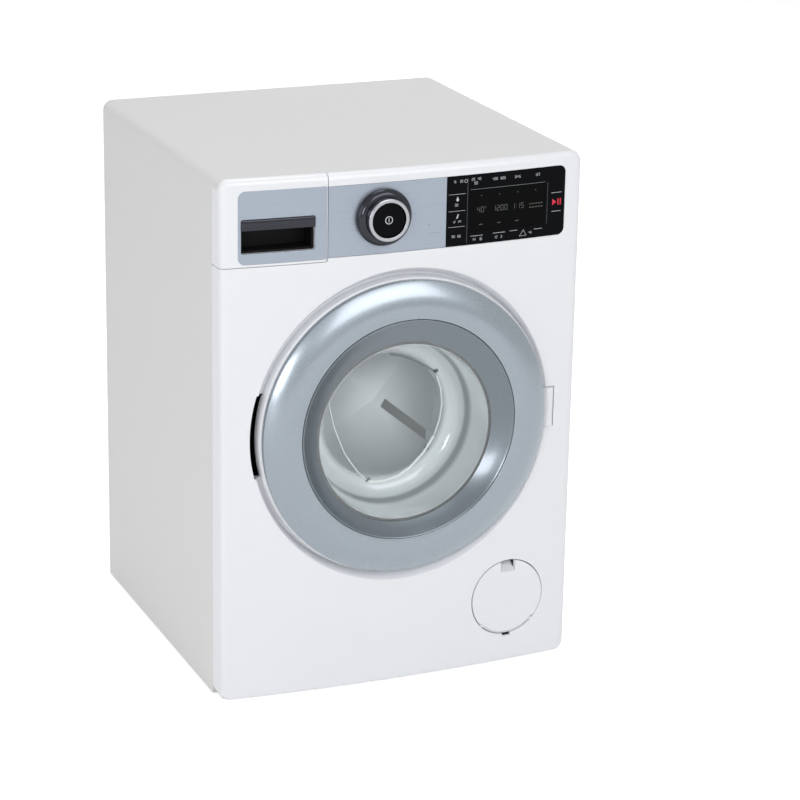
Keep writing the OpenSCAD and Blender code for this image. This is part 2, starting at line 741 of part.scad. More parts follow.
module latch_clip() {
    leaf = 0.5;
    reach = 7;
    color("silver") from_front() for (side = [0, 1]) translate([latch_x, 0, door_z]) mirror([0, 0, side]) {
        z0 = latch_w / 2 + move_gap;
        span(-2.5, 2.5, floor_back, floor_back + reach, z0, z0 + leaf);
        span(-2.5, 2.5, floor_back, floor_back + leaf, z0, z0 + 6);
    }
}
module finger_cup() {
    wall = 1.4;
    back = tub_y0 - 0.4;
    color([0.05, 0.05, 0.05]) from_front() difference() {
        union() {
            span(cup_in_x - wall, cup_right_x + wall, floor_back, back,
                 grip_z - grip_h / 2 - wall, grip_z + grip_h / 2 + wall);
            span(cup_in_x - wall, cup_in_x, bow_at(cup_in_x - wall, panel_t) + 0.2, floor_back + 0.5,
                 grip_z - grip_h / 2 - wall, grip_z + grip_h / 2 + wall);
        }
        span(cup_in_x, cup_right_x, -10, back - wall, grip_z - grip_h / 2, grip_z + grip_h / 2);
    }
}
module hinge_pin() {
    color("silver") from_front() translate([hinge_x, hinge_y, knuckle_z0 - pin_over + 0.1])
        cylinder(r = hinge_pin_r, h = knuckle_h + 2 * pin_over - 0.2, $fn = 32);
}

/* ---- Tub, drum and drive ---- */
tub_y0 = 14;
tub_t = 1.8;
tub_in_r = drum_r + tub_gap;
tub_r = tub_in_r + tub_t;
drum_y0 = tub_y0 + tub_t + 1.2;
drum_y1 = drum_y0 + drum_l;
cone_base_y = drum_y1 - 8;
cone_tip_y = bowl_depth + 12.4;
cone_t = 2.2;
cone_r = drum_r - drum_t - 6;
cone_turn = -50;            // ridges of the drum back, measured in the drum's own frame
hub_r = 7;
hub_end = drum_y1 + 8;
tub_back = hub_end + 6;
boss_r = 9;
boss_end = tub_back + 10;
shaft_r = shaft_d / 2;
bush_r = shaft_r + 2;
plate_t = 2.4;
plate_x = 41;
plate_z0 = door_z - 70.8;
plate_z1 = door_z + 37.2;
gear_y = boss_end + plate_t + 1.6;
wheel_y = gear_y + gear_w + 1;
idler_drop = gear_m * (drum_teeth + pinion_teeth) / 2;
motor_reach = gear_m * (idler_teeth + pinion_teeth) / 2;
motor_dir = 30;             // below the horizontal, seen from the front
idler_z = door_z - idler_drop;
motor_x = motor_reach * cos(motor_dir);
motor_z = idler_z - motor_reach * sin(motor_dir);
axle_r = 1.5;
motor_shaft_r = 1;
bracket_y = wheel_y + gear_w + 2;
bracket_t = 2.5;
plate_posts = [for (x = [-1, 1] * (plate_x - 5), z = [plate_z0 + 5, plate_z1 - 5]) [x, z]];
module door_gasket() {
    wall = 1.5;
    color("gray") from_front() at_door() {
        tube(front_hole_r + 0.3, front_hole_r + 4.6, floor_back, floor_back + wall, 180);
        tube(front_hole_r + 2, front_hole_r + 3.6, floor_back, tub_y0, 180);
        tube(front_hole_r + 0.3, front_hole_r + 4.6, tub_y0 - wall, tub_y0, 180);
    }
}
module tub_front() {
    color("gainsboro") from_front() at_door() {
        tube(front_hole_r + 1, tub_r, tub_y0, tub_y0 + tub_t, 180);
        for (a = [45, 135, 225, 315]) rotate(a) translate([max(tub_r - 8, front_hole_r + 8.2), 0, 0])
            disc(3, floor_back, tub_y0 + 0.2, 48);
    }
}
module tub() {
    color("gainsboro") from_front() difference() {
        at_door() {
            tube(tub_in_r, tub_r, tub_y0 + tub_t, tub_back, 180);
            tube(bush_r + 0.03, tub_r, tub_back - tub_t, tub_back, 180);
            tube(bush_r + 0.03, boss_r, hub_end + 2, boss_end);
            for (p = plate_posts) translate([p[0], door_z - p[1], 0])
                disc(3.5, tub_back - 0.2, boss_end, 48);
        }
        for (p = plate_posts) along_y(p[0], p[1]) disc(screw_bore_r, tub_back + 0.5, boss_end + 1, 32);
    }
}
module drum_bush() {
    color("peru") from_front() at_door() tube(shaft_r + run_gap, bush_r, hub_end + 2, boss_end);
}
module drum_shell() {
    holes = 12;
    color("gainsboro") from_front() at_door() difference() {
        union() {
            tube(drum_r - drum_t, drum_r, drum_y0, drum_y1, 180);
            tube(mouth_r, drum_r, drum_y0, drum_y0 + drum_t, 180);
        }
        for (k = [0:holes - 1], row = [0, 1])
            rotate((k + row / 2) * 360 / holes + 20)
            translate([drum_r - drum_t - 2, 0, drum_y0 + 12 + row * 14])
            rotate([0, 90, 0]) cylinder(r = 1.5, h = drum_t + 6, $fn = 24);
    }
}
// square pyramid, its base a little past the back disc's face
module drum_cone(depth) {
    reach = cone_base_y - cone_tip_y + 0.6;
    half = cone_r / sqrt(2) * reach / (reach - 0.6);
    translate([0, 0, cone_tip_y + depth]) rotate(cone_turn + 45) intersection() {
        pyramid_wedge(half, reach);
        rotate(90) pyramid_wedge(half, reach);
    }
}
module pyramid_wedge(half, reach) {
    rotate([90, 0, 0]) linear_extrude(2 * half + 2, center = true)
        polygon([[0, 0], [half, reach], [-half, reach]]);
}
module drum_back() {
    slot_w = 3;
    color("gainsboro") from_front() at_door() difference() {
        union() {
            difference() {
                union() {
                    disc(drum_r - drum_t - 0.05, cone_base_y, cone_base_y + cone_t, 180);
                    drum_cone(0);
                }
                drum_cone(cone_t);
                rotate(cone_turn + 90) translate([8, -slot_w - 0.6, 0]) cube([34, slot_w, drum_y1]);
            }
            disc(hub_r, cone_tip_y + 6, hub_end);
        }
        disc(shaft_r + 0.02, cone_tip_y + 9, hub_end + 1);
    }
}
module drum_lifters() {
    height = 11;
    inner_r = drum_r - drum_t;
    start_y = drum_y0 + drum_t + 1.5;
    color("white") from_front() at_door() for (a = [0:90:270]) rotate(a + cone_turn + 45)
        translate([0, 0, start_y]) linear_extrude(cone_base_y - 0.1 - start_y) intersection() {
            circle(inner_r - 0.05, $fn = 180);
            polygon([[inner_r - height, -2], [drum_r, -7], [drum_r, 7], [inner_r - height, 2]]);
        }
}
module drum_shaft() {
    color("silver") from_front() at_door() disc(shaft_r, cone_tip_y + 10, gear_y + gear_w + 2.5);
}
module shaft_clip() {
    color("silver") from_front() at_door()
        tube(shaft_r + 0.02, shaft_r + 2, gear_y + gear_w, gear_y + gear_w + 0.9);
}

// involute spur gear with the given tooth count, a tooth centred on local x
gear_backlash = 0.25;
pressure = 20;
module gear_wheel(teeth, bore) {
    pitch_r = gear_m * teeth / 2;
    base_r = pitch_r * cos(pressure);
    tip_r = pitch_r + 0.8 * gear_m;
    root_r = pitch_r - 1.1 * gear_m;
    inv = function (a) tan(a) * 180 / PI - a;
    half = 90 / teeth - gear_backlash / 2 / pitch_r * 180 / PI + inv(pressure);
    start_r = max(base_r, root_r) + 0.001;
    radii = [for (k = [0:3]) start_r + (tip_r - start_r) * k / 3];
    flank = concat([[root_r, half - inv(acos(base_r / start_r))]],
                   [for (r = radii) [r, half - inv(acos(base_r / r))]]);
    linear_extrude(gear_w) difference() {
        polygon([for (k = [0:teeth - 1], side = [-1, 1], i = [0:4])
            let (f = flank[side < 0 ? i : 4 - i], a = 360 * k / teeth + side * f[1])
            f[0] * [cos(a), sin(a)]]);
        circle(bore, $fn = 48);
    }
}
module drum_gear() {
    color("ivory") from_front() at_door() translate([0, 0, gear_y]) rotate(90)
        gear_wheel(drum_teeth, shaft_r + 0.02);
}
module idler_gear() {
    color("ivory") from_front() along_y(0, idler_z) {
        translate([0, 0, gear_y]) rotate(-90 + 180 / pinion_teeth) gear_wheel(pinion_teeth, axle_r + run_gap);
        tube(axle_r + run_gap, 4.5, gear_y + gear_w - 0.1, wheel_y + 0.1);
        translate([0, 0, wheel_y]) rotate(motor_dir) gear_wheel(idler_teeth, axle_r + run_gap);
    }
}
module motor_pinion() {
    color("ivory") from_front() along_y(motor_x, motor_z) translate([0, 0, wheel_y])
        rotate(180 + motor_dir + 180 / pinion_teeth) gear_wheel(pinion_teeth, motor_shaft_r + 0.02);
}
module motor_shaft() {
    color("silver") from_front() along_y(motor_x, motor_z)
        disc(motor_shaft_r, wheel_y - 1, bracket_y + bracket_t + motor_l - 2, 32);
}
module idler_axle() {
    color("silver") from_front() along_y(0, idler_z) disc(axle_r, boss_end + 0.3, wheel_y + gear_w + 1.2, 48);
}
module gearbox_plate() {
    color("gainsboro") from_front() difference() {
        intersection() {
            span(-plate_x, plate_x, boss_end, boss_end + plate_t, plate_z0, plate_z1);
            through_y() round_rect(-plate_x, plate_x, plate_z0, plate_z1, 6);
        }
        at_door() disc(shaft_r + 0.5, boss_end - 1, boss_end + plate_t + 1);
        along_y(0, idler_z) disc(axle_r + 0.02, boss_end - 1, boss_end + plate_t + 1, 48);
        for (p = plate_posts) along_y(p[0], p[1])
            disc(screw_r + 0.2, boss_end - 1, boss_end + plate_t + 1, 32);
    }
}
module gearbox_screws() {
    color("silver") from_front() for (p = plate_posts) along_y(p[0], p[1])
        cross_screw(boss_end + plate_t + 1.4, 2.8, 1.4, 9);
}
module motor() {
    front = bracket_y + bracket_t;
    color("silver") from_front() along_y(motor_x, motor_z) difference() {
        union() {
            disc(motor_d / 2, front, front + motor_l);
            disc(3, front - bracket_t + 0.5, front + 0.1, 48);
        }
        disc(motor_shaft_r + run_gap, front - 5, front + motor_l - 1.8, 32);
    }
}
bracket_legs = [[14, 8], [14, -8], [-13, 10]];  // from the motor's axis, x then down
module motor_bracket() {
    half_side = motor_d / 2 + 6;
    color("gainsboro") from_front() along_y(motor_x, motor_z) difference() {
        union() {
            translate([-half_side, -half_side + 3, bracket_y])
                cube([2 * half_side, 2 * half_side - 3, bracket_t]);
            for (p = bracket_legs) translate([p[0], p[1], 0])
                disc(2.2, boss_end + plate_t, bracket_y + 0.1, 48);
        }
        disc(3.1, bracket_y - 1, bracket_y + bracket_t + 1, 48);
    }
}

/* ---- Drawer ---- */
drawer_back = 3;
inlay_t = 0.6;
inlay_x0 = -half_w + 8.8;
inlay_x1 = drawer_right - 0.6;
inlay_z0 = drawer_z + 1.4;
inlay_z1 = inlay_z0 + 35;
pull_x0 = inlay_x0 + 1.4;
pull_x1 = pull_x0 + pull_w;
pull_z0 = inlay_z0 + 5.2;
pull_z1 = pull_z0 + pull_h;
tray_x0 = -inner_w + 0.7;
tray_x1 = drawer_right - 2.3;
tray_z0 = drawer_z + 1.6;
tray_z1 = tray_z0 + 31;
tray_y0 = 9.3;
tray_y1 = tray_y0 + tray_d;
tray_wall = 1.4;
module inlay_outline(inset = 0) {
    round_rect(inlay_x0 + inset, inlay_x1 - inset - 6, inlay_z0 + inset, inlay_z1 - inset, 3.5 - inset);
    translate([inlay_x1 - 12, inlay_z0 + inset]) square([12 - inset, inlay_z1 - inlay_z0 - 2 * inset]);
}
module pull_box(inset, y0, y1) {
    span(pull_x0 + inset, pull_x1 - inset, y0, y1, pull_z0 + inset, pull_z1 - inset);
}
module drawer_front() {
    color("white") from_front() difference() {
        intersection() {
            front_block();
            through_y() drawer_corner(2 * seam);
        }
        span(-inner_w, 0, drawer_back, big, 0, top_in);
        intersection() {
            bow_layer(-2, inlay_t);
            through_y() inlay_outline();
        }
        pull_box(0, -10, 20);
    }
}
module drawer_inlay() {
    color("lightsteelblue") from_front() difference() {
        bowed_plate(0, inlay_t - skin_gap) inlay_outline(0.1);
        pull_box(0, -10, 20);
    }
}
module grip_bar() {
    color([0.15, 0.15, 0.17]) from_front() bowed_plate(-0.7, 1.6)
        translate([pull_x0 + 0.1, pull_z1 - bar_h]) square([pull_w - 0.2, bar_h - 0.1]);
}
module grip_cup() {
    color([0.05, 0.05, 0.05]) from_front() intersection() {
        bow_layer(1.8, 60);
        difference() {
            pull_box(0.1, -10, tray_y0 - 0.1);
            pull_box(1.1, -11, tray_y0 - 1.2);
        }
    }
}
module drawer_tray() {
    divider_x0 = (tray_x0 + tray_x1 - tray_wall) / 2;
    inside_z0 = tray_z0 + tray_wall;
    inside_y0 = tray_y0 + tray_wall;
    inside_y1 = tray_y1 - tray_wall;
    cross_y = tray_y0 + 0.45 * tray_d;
    right_x = tray_x1 - tray_wall;
    color("white") from_front() difference() {
        span(tray_x0, tray_x1, drawer_back, tray_y1, tray_z0, tray_z1);
        span(tray_x0 + tray_wall, right_x, 0, tray_y0, inside_z0, cabinet_h);
        span(tray_x0 + tray_wall, divider_x0, inside_y0, inside_y1, inside_z0, cabinet_h);
        span(divider_x0 + tray_wall, right_x, inside_y0, cross_y, inside_z0, cabinet_h);
        span(divider_x0 + tray_wall, right_x, cross_y + tray_wall, inside_y1, inside_z0, cabinet_h);
    }
}
module drawer_housing() {
    floor_z1 = tray_z0 - move_gap;
    floor_z0 = floor_z1 - 1.4;
    wall_x0 = tray_x1 + move_gap;
    end_y = tray_y1 + 6;
    color("gainsboro") from_front() {
        span(-inner_w + 0.1, wall_x0 + 1.4, drawer_back + 1, end_y, floor_z0, floor_z1);
        span(wall_x0, wall_x0 + 1.4, side_return + 2, end_y, floor_z0, top_in);
        span(-inner_w + 0.1, wall_x0 + 1.4, end_y - 1.4, end_y, floor_z0, floor_z1 + 14);
    }
}

/* ---- Service flap ---- */
notch_w = 8;
notch_z = flap_r - 5.6;
module service_flap() {
    color("white") from_front() at_flap() {
        difference() {
            flap_disc(flap_r, 0, flap_t);
            translate([-notch_w / 2, -1, notch_z]) cube([notch_w, flap_t + 2, 10]);
            intersection() {
                translate([-flap_r, -1, -flap_r]) cube([2 * flap_r, flap_t, flap_r + flap_hinge_z + 2]);
                rotate([-90, 0, 0]) rotate_extrude($fn = 96)
                    polygon([[flap_r - flap_bevel, 0], [flap_r + 1, -1], [flap_r + 1, flap_bevel + 1]]);
            }
        }
        for (side = [-1, 1]) translate([side * flap_pin_l / 2, flap_hinge_y, flap_hinge_z])
            rotate([0, -side * 90, 0]) cylinder(r = flap_pin_r, h = 4, $fn = 32);
        translate([-notch_w / 2, 0, 0]) rotate([90, 0, 90]) linear_extrude(notch_w)
            polygon([[flap_t - 0.1, notch_z - 2], [0.2, notch_z], [6.5, flap_r - 1.2], [6.5, notch_z - 2]]);
    }
}
module service_cup() {
    wall = 1.4;
    inside = flap_r + 1.5;
    outside = inside + wall;
    // the panel's rear face comes nearest at the cup's left and right
    front = panel_t + pow(outside, 2) / (2 * (bow_r - panel_t)) + skin_gap;
    color("white") from_front() at_flap() rotate([-90, 0, 0]) difference() {
        disc(outside, front, cup_depth + wall);
        disc(inside, front - 1, cup_depth);
    }
}

cabinet_shell();
front_panel();
rear_cover();
base_plate();
rubber_feet();
fascia_plate();
control_panel();
display_lens();
display_module();
circuit_board();
board_screws();
programme_switch();
power_switch();
drawer_housing();
finger_cup();
latch_clip();
hinge_pin();
door_gasket();
tub_front();
tub();
drum_bush();
gearbox_plate();
gearbox_screws();
idler_axle();
motor();
motor_bracket();
battery_box();
batteries();
battery_contacts();
battery_cover();
cover_screw();
case_screws();
speaker();
service_cup();
service_flap();
door_body();
door_ring();
door_bevel();
door_window();
door_latch();
drum_shell();
drum_back();
drum_lifters();
drum_shaft();
drum_gear();
shaft_clip();
idler_gear();
motor_pinion();
motor_shaft();
knob_body();
knob_skirt();
knob_clip();
power_button();
button_stem();
drawer_front();
drawer_inlay();
grip_bar();
grip_cup();
drawer_tray();
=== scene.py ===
"""Looks of a toy washing machine: mouldings, door, drum, knob, drawer and printed marks.

Sizes of the modelled pieces are millimetres. x runs to the right and z up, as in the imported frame.
y is measured to the rear from the plane of the cabinet's front corners, and Shell.make() turns
everything to metres in the frame's place.
"""

from __future__ import annotations

import json
import logging
import math
from collections.abc import Callable, Sequence
from dataclasses import dataclass, field
from enum import Enum

import bmesh
import bpy
import numpy as np
from mathutils import Matrix, Vector
from mathutils.geometry import delaunay_2d_cdt

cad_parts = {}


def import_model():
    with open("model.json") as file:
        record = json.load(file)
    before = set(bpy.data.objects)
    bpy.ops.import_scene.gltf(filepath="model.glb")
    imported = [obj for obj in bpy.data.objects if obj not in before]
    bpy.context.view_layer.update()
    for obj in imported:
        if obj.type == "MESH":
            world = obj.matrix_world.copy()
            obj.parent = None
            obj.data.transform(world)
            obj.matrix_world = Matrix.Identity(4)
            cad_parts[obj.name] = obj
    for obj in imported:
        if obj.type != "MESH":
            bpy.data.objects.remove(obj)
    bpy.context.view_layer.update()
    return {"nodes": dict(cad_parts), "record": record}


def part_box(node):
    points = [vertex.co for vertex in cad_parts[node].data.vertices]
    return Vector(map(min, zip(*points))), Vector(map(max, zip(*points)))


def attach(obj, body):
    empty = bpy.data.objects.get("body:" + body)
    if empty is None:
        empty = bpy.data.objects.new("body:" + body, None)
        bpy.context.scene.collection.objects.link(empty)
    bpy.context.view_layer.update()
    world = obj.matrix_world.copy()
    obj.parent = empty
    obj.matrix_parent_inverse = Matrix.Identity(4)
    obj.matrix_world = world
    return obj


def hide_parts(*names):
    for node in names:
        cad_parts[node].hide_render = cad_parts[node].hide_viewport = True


log = logging.getLogger("washing_machine")

Array = np.ndarray
Height = Callable[[Array, Array], Array]
Piece = bpy.types.Object
Looks = dict[str, bpy.types.Material]
Floats = Sequence[float]
Line = Sequence[Floats]
Pair = tuple[float, float]
Four = tuple[float, float, float, float]
TURN = 2 * math.pi
MM = 0.001


class Body(Enum):
    """The bodies that the pieces ride on."""

    CABINET = "cabinet"
    DOOR = "door"
    DRUM = "drum"
    KNOB = "knob"
    BUTTON = "power_button"
    DRAWER = "drawer"


# shader nodes


def operator(operation: str) -> Callable[[Sock, object], Sock]:
    """A method that adds one Math node of the socket and another value, and returns its output."""
    return lambda self, other: self.book.node("Math", {"operation": operation}, {0: self, 1: other})


class Sock:
    """A shader socket that Python's operators turn into Math nodes."""

    def __init__(self, book: Book, socket: bpy.types.NodeSocket) -> None:
        """Args: book: the material's node book. socket: an output socket."""
        self.book = book
        self.socket = socket

    __add__ = __radd__ = operator("ADD")
    __sub__ = operator("SUBTRACT")
    __mul__ = operator("MULTIPLY")
    power = operator("POWER")

    def within(self, low: float, high: float) -> Sock:
        """A soft step that is 0 at low and 1 at high."""
        return self.book.node("MapRange", {"interpolation_type": "SMOOTHSTEP"},
                              {"Value": self, "From Min": low, "From Max": high})


class Book:
    """Writes the nodes of one material or world."""

    def __init__(self, name: str, kind: str = "materials") -> None:
        """Args: name: the material's name. kind: the collection that it goes to."""
        self.owner = getattr(bpy.data, kind).new(name)
        self.owner.use_nodes = True
        self.tree = self.owner.node_tree
        self.tree.nodes.clear()

    def node(self, kind: str, settings: dict | None = None, values: dict | None = None,
             out: str | int = 0) -> Sock:
        """Adds a node.

        Args:
            kind: node type without its ShaderNode prefix.
            settings: properties that are set first.
            values: numbers, colours or sockets for its inputs, by name or index.
            out: the output to return, by name or index.

        Returns:
            The chosen output.
        """
        made = self.tree.nodes.new("ShaderNode" + kind)
        for key, value in (settings or {}).items():
            setattr(made, key, value)
        for key, value in (values or {}).items():
            if isinstance(value, Sock):
                self.tree.links.new(value.socket, made.inputs[key])
            else:
                made.inputs[key].default_value = value
        return Sock(self, made.outputs[out])

    def mix(self, share: object, low: Floats | Sock, high: Floats | Sock) -> Sock:
        """Colour between low and high. Returns the mixed colour."""
        return self.node("Mix", {"data_type": "RGBA"}, {0: share, 6: low, 7: high}, 2)

    def place(self, scale: Floats = (1, 1, 1), centre: Floats = (0, 0, 0)) -> Sock:
        """Object coordinates, moved so that centre is at 0 and then scaled."""
        here = self.node("TexCoord", out="Object")
        moved = self.node("VectorMath", {"operation": "SUBTRACT"}, {0: here, 1: tuple(centre)})
        return self.node("VectorMath", {"operation": "MULTIPLY"}, {0: moved, 1: tuple(scale)})

    def noise(self, where: Sock, scale: float, detail: float = 2.0, rough: float = 0.5) -> Sock:
        """Noise from 0 to 1 at a point."""
        return self.node("TexNoise", {},
                         {"Vector": where, "Scale": scale, "Detail": detail, "Roughness": rough})

    def bump(self, height: Sock, distance: float, strength: float = 1.0, edge: float = 0.0) -> Sock:
        """Normal of a bumped surface, whose sharp edges look rounded to the radius edge."""
        values: dict = {"Height": height, "Distance": distance, "Strength": strength}
        if edge:
            values["Normal"] = self.node("Bevel", {"samples": 4}, {"Radius": edge})
        return self.node("Bump", {}, values)

    def end(self, shader: Sock, kind: str = "Material") -> bpy.types.ID:
        """Ends the nodes in an output of the kind. Returns the finished material or world."""
        output = self.tree.nodes.new("ShaderNodeOutput" + kind)
        self.tree.links.new(shader.socket, output.inputs["Surface"])
        return self.owner

    def surface(self, values: dict) -> bpy.types.Material:
        """Ends the material in a Principled surface.

        Args:
            values: numbers, colours or sockets for the Principled inputs, by name.

        Returns:
            The finished material.
        """
        return self.end(self.node("BsdfPrincipled", {}, values))

    def tint(self, share: Sock, colour: Floats, spread: float) -> Sock:
        """The colour, made up to spread darker or lighter as the share runs from 0 to 1."""
        return self.mix(share, shade(colour, 1 - spread), shade(colour, 1 + spread))


def rgba(*channels: float) -> Four:
    """Linear colour of an 8-bit display colour: the display curve undone."""
    level = np.array(channels) / 255
    curve = np.where(level <= 0.04045, level / 12.92, ((level + 0.055) / 1.055) ** 2.4)
    return (*curve.tolist(), 1.0)


def shade(colour: Floats, factor: float) -> Four:
    """The colour made darker or lighter by a factor."""
    return (*(channel * factor for channel in colour[:3]), 1.0)


# finishes


@dataclass(frozen=True)
class Finish:
    """What every finish has: a name and the display colour that it is meant to show."""

    name: str
    colour: Four


@dataclass(frozen=True)
class Moulded(Finish):
    """Moulded plastic, rubber or board: a cloudy colour with a fine grain in its skin."""

    rough: float = 0.4
    grain: float = 0.0006
    depth: float = 0.00002
    cloud: float = 0.02
    metal: float = 0.0
    coat: float = 0.0
    edge: float = 0.0003
    shine: float = 0.5

    def build(self) -> bpy.types.Material:
        """Clouds 25 mm wide tint the colour, and a noise of the grain's size moves gloss and height."""
        book = Book(self.name)
        here = book.place()
        cloud = book.noise(here, 40.0, 3.0)
        skin = book.noise(here, 1.0 / self.grain)
        return book.surface({
            "Base Color": book.tint(cloud, self.colour, self.cloud), "Metallic": self.metal,
            "Coat Weight": self.coat, "Coat Roughness": 0.06, "Specular IOR Level": self.shine,
            "Roughness": self.rough + (cloud - 0.5) * 0.06 + (skin - 0.5) * 0.08,
            "Normal": book.bump(skin, self.depth, 0.6, self.edge)})


@dataclass(frozen=True)
class Brushed(Finish):
    """Silver foil brushed along x: long streaks in colour, gloss and height."""

    rough: float = 0.38
    metal: float = 0.55
    streak: float = 0.00035
    contrast: float = 0.10

    def build(self) -> bpy.types.Material:
        """Noise squeezed to streaks, far longer than high, at two sizes."""
        book = Book(self.name)
        fine = book.noise(book.place((9, 9, 1 / self.streak)), 1.0, 4.0, 0.65)
        wide = book.noise(book.place((4, 4, 0.25 / self.streak)), 1.0)
        streaks = fine * 0.65 + wide * 0.35
        return book.surface({
            "Base Color": book.tint(streaks, self.colour, self.contrast), "Metallic": self.metal,
            "Roughness": self.rough + (streaks - 0.5) * 0.25, "Normal": book.bump(streaks, 0.00002, 0.5)})


@dataclass(frozen=True)
class Metallic(Finish):
    """Sprayed silver paint or plated metal: tiny flakes glint under a thin lacquer."""

    rough: float = 0.32
    metal: float = 0.8
    flake: float = 0.00018
    glint: float = 0.12
    coat: float = 0.25

    def build(self) -> bpy.types.Material:
        """Cells of the flake's size tint the colour, and soft clouds move the gloss."""
        book = Book(self.name)
        cells = book.node("TexVoronoi", {}, {"Vector": book.place(), "Scale": 1 / self.flake}, "Color")
        spark = book.node("SeparateXYZ", {}, {0: cells}, "X")
        cloud = book.noise(book.place(), 60.0)
        return book.surface({
            "Base Color": book.tint(spark, self.colour, self.glint), "Metallic": self.metal,
            "Coat Weight": self.coat, "Coat Roughness": 0.12,
            "Roughness": self.rough + (cloud - 0.5) * 0.05 + (spark - 0.5) * 0.05,
            "Normal": book.bump(spark, 0.000002, 0.2)})


@dataclass(frozen=True)
class Clear(Finish):
    """Clear moulded plastic that turns milky towards its edges.

    Its radius bands are in metres from the bowl's axis: wall is where the haze sets in; the two line bands
    are the sides of a dark line, and the lip band a dark lip, both painted shade in the shadow colour,
    standing in for the shade of a step in the bowl wall and of the gap at the bowl's edge.
    """

    least: float = 0.1
    most: float = 0.6
    haze: float = 0.55
    axis_z: float = 0.1294
    wall: Pair = (0.0305, 0.035)
    line_in: Pair = (0.0404, 0.0414)
    shade_line_out: Pair = (0.0419, 0.0429)
    lip_shade: Pair = (0.0438, 0.0444)
    # Colour of the painted shade in the dark line and at the lip.
    painted_shadow: Four = (0.14, 0.15, 0.15, 1.0)
    rough: float = 0.08

    def build(self) -> bpy.types.Material:
        """Alpha rises from least to most as the wall turns edge on, and with the haze of the wall."""
        book = Book(self.name)
        facing = book.node("LayerWeight", {}, {"Blend": 0.35}, "Facing")
        cloud = book.noise(book.place(), 70.0)
        around = book.place((1, 0, 1), (0, 0, self.axis_z))
        radius = book.node("VectorMath", {"operation": "LENGTH"}, {0: around}, 1)
        wall = radius.within(*self.wall) * self.haze
        # Painted shade: the colour is mixed towards the shadow colour in the line band and beyond the lip
        # band.
        line = radius.within(*self.line_in) - radius.within(*self.shade_line_out)
        step = line * 0.7 + radius.within(*self.lip_shade)
        clear = book.mix(cloud, shade(self.colour, 0.96), self.colour)
        return book.surface({
            "Base Color": book.mix(step, clear, self.painted_shadow),
            "Roughness": self.rough + cloud * 0.05, "Coat Weight": 1.0, "Coat Roughness": 0.03,
            "Alpha": self.least + wall + facing.power(1.6) * (self.most - self.least),
            "Normal": book.bump(cloud, 0.0004, 0.25)})


@dataclass(frozen=True)
class Ink(Finish):
    """Printed marks: one flat colour with a faintly uneven lay."""

    rough: float = 0.45
    # A glow above 0 makes the mark shine by emission though nothing lights it: painted light.
    glow: float = 0.0

    def build(self) -> bpy.types.Material:
        """The tint varies by a few hundredths over a quarter of a millimetre."""
        book = Book(self.name)
        lay = book.noise(book.place(), 4000.0, 1.0)
        colour = book.mix(lay, shade(self.colour, 0.93), self.colour)
        return book.surface({"Base Color": colour, "Roughness": self.rough + (lay - 0.5) * 0.1,
                             "Emission Color": self.colour, "Emission Strength": self.glow,
                             "Normal": book.bump(lay, 0.000004, 0.3)})


# surfaces


def arc(radius: float, start: float, end: float, count: int) -> Array:
    """Points (count, 2) on a circle: radius times cosine and sine of evenly spaced angles, in degrees."""
    angle = np.radians(np.linspace(start, end, count))
    return radius * np.stack([np.cos(angle), np.sin(angle)], 1)


def rounded(points: Line, radii: Floats | float, steps: int = 4, closed: bool = True) -> Array:
    """A polyline whose corners are curves.

    A corner becomes the quadratic curve (1-t)^2 a + 2t(1-t) b + t^2 c, where b is the corner and a
    and c lie on its two sides at the corner's radius, or at 0.48 of a shorter side.

    Args:
        points: corners, (N, D).
        radii: a radius for each corner, or one for all.
        steps: pieces of each curve.
        closed: whether the last corner joins the first.

    Returns:
        The points of the rounded line.
    """
    corner = np.asarray(points, float)
    reach = np.broadcast_to(np.asarray(radii, float), len(corner))[:, None].copy()
    before = np.roll(corner, 1, 0) - corner
    after = np.roll(corner, -1, 0) - corner
    size_b = np.linalg.norm(before, axis=1, keepdims=True)
    size_a = np.linalg.norm(after, axis=1, keepdims=True)
    reach = np.minimum(reach, 0.48 * np.minimum(size_a, size_b))
    if not closed:
        reach[[0, -1]] = 0
    start = corner + before / size_b * reach
    end = corner + after / size_a * reach
    t = np.linspace(0, 1, steps + 1)[None, :, None]
    curve = (1 - t) ** 2 * start[:, None] + 2 * t * (1 - t) * corner[:, None] + t ** 2 * end[:, None]
    kept = [curve[i] if reach[i, 0] > 1e-9 else corner[i:i + 1] for i in range(len(corner))]
    return np.concatenate(kept)


def spun(points: Array, angle: float) -> tuple[Array, Array]:
    """Both components of points (..., 2), turned about the origin by an angle in degrees."""
    turn = math.radians(angle)
    u, v = points[..., 0], points[..., 1]
    return u * math.cos(turn) - v * math.sin(turn), u * math.sin(turn) + v * math.cos(turn)


def even(points: Array, pitch: float) -> Array:
    """A closed outline with points added on straight lines, so that no side is longer than pitch."""
    following = np.roll(points, -1, 0)
    count = np.maximum(1, np.ceil(np.linalg.norm(following - points, axis=1) / pitch)).astype(int)
    side = np.repeat(np.arange(len(points)), count)
    share = (np.arange(len(side)) - np.repeat(np.cumsum(count) - count, count)) / count[side]
    return points[side] + (following - points)[side] * share[:, None]


def inside(points: Array, loops: Sequence[Array]) -> Array:
    """Which points lie inside an odd number of closed outlines, by counting crossings to the right."""
    odd = np.zeros(len(points), bool)
    for loop in loops:
        a, b = loop, np.roll(loop, -1, 0)
        for part in range(0, len(points), 4000):
            p = points[part:part + 4000, None]
            spans = (a[:, 1] > p[..., 1]) != (b[:, 1] > p[..., 1])
            rise = np.where(b[:, 1] == a[:, 1], 1.0, b[:, 1] - a[:, 1])
            cross = a[:, 0] + (p[..., 1] - a[:, 1]) * (b[:, 0] - a[:, 0]) / rise
            odd[part:part + 4000] ^= ((spans & (cross > p[..., 0])).sum(1) % 2).astype(bool)
    return odd


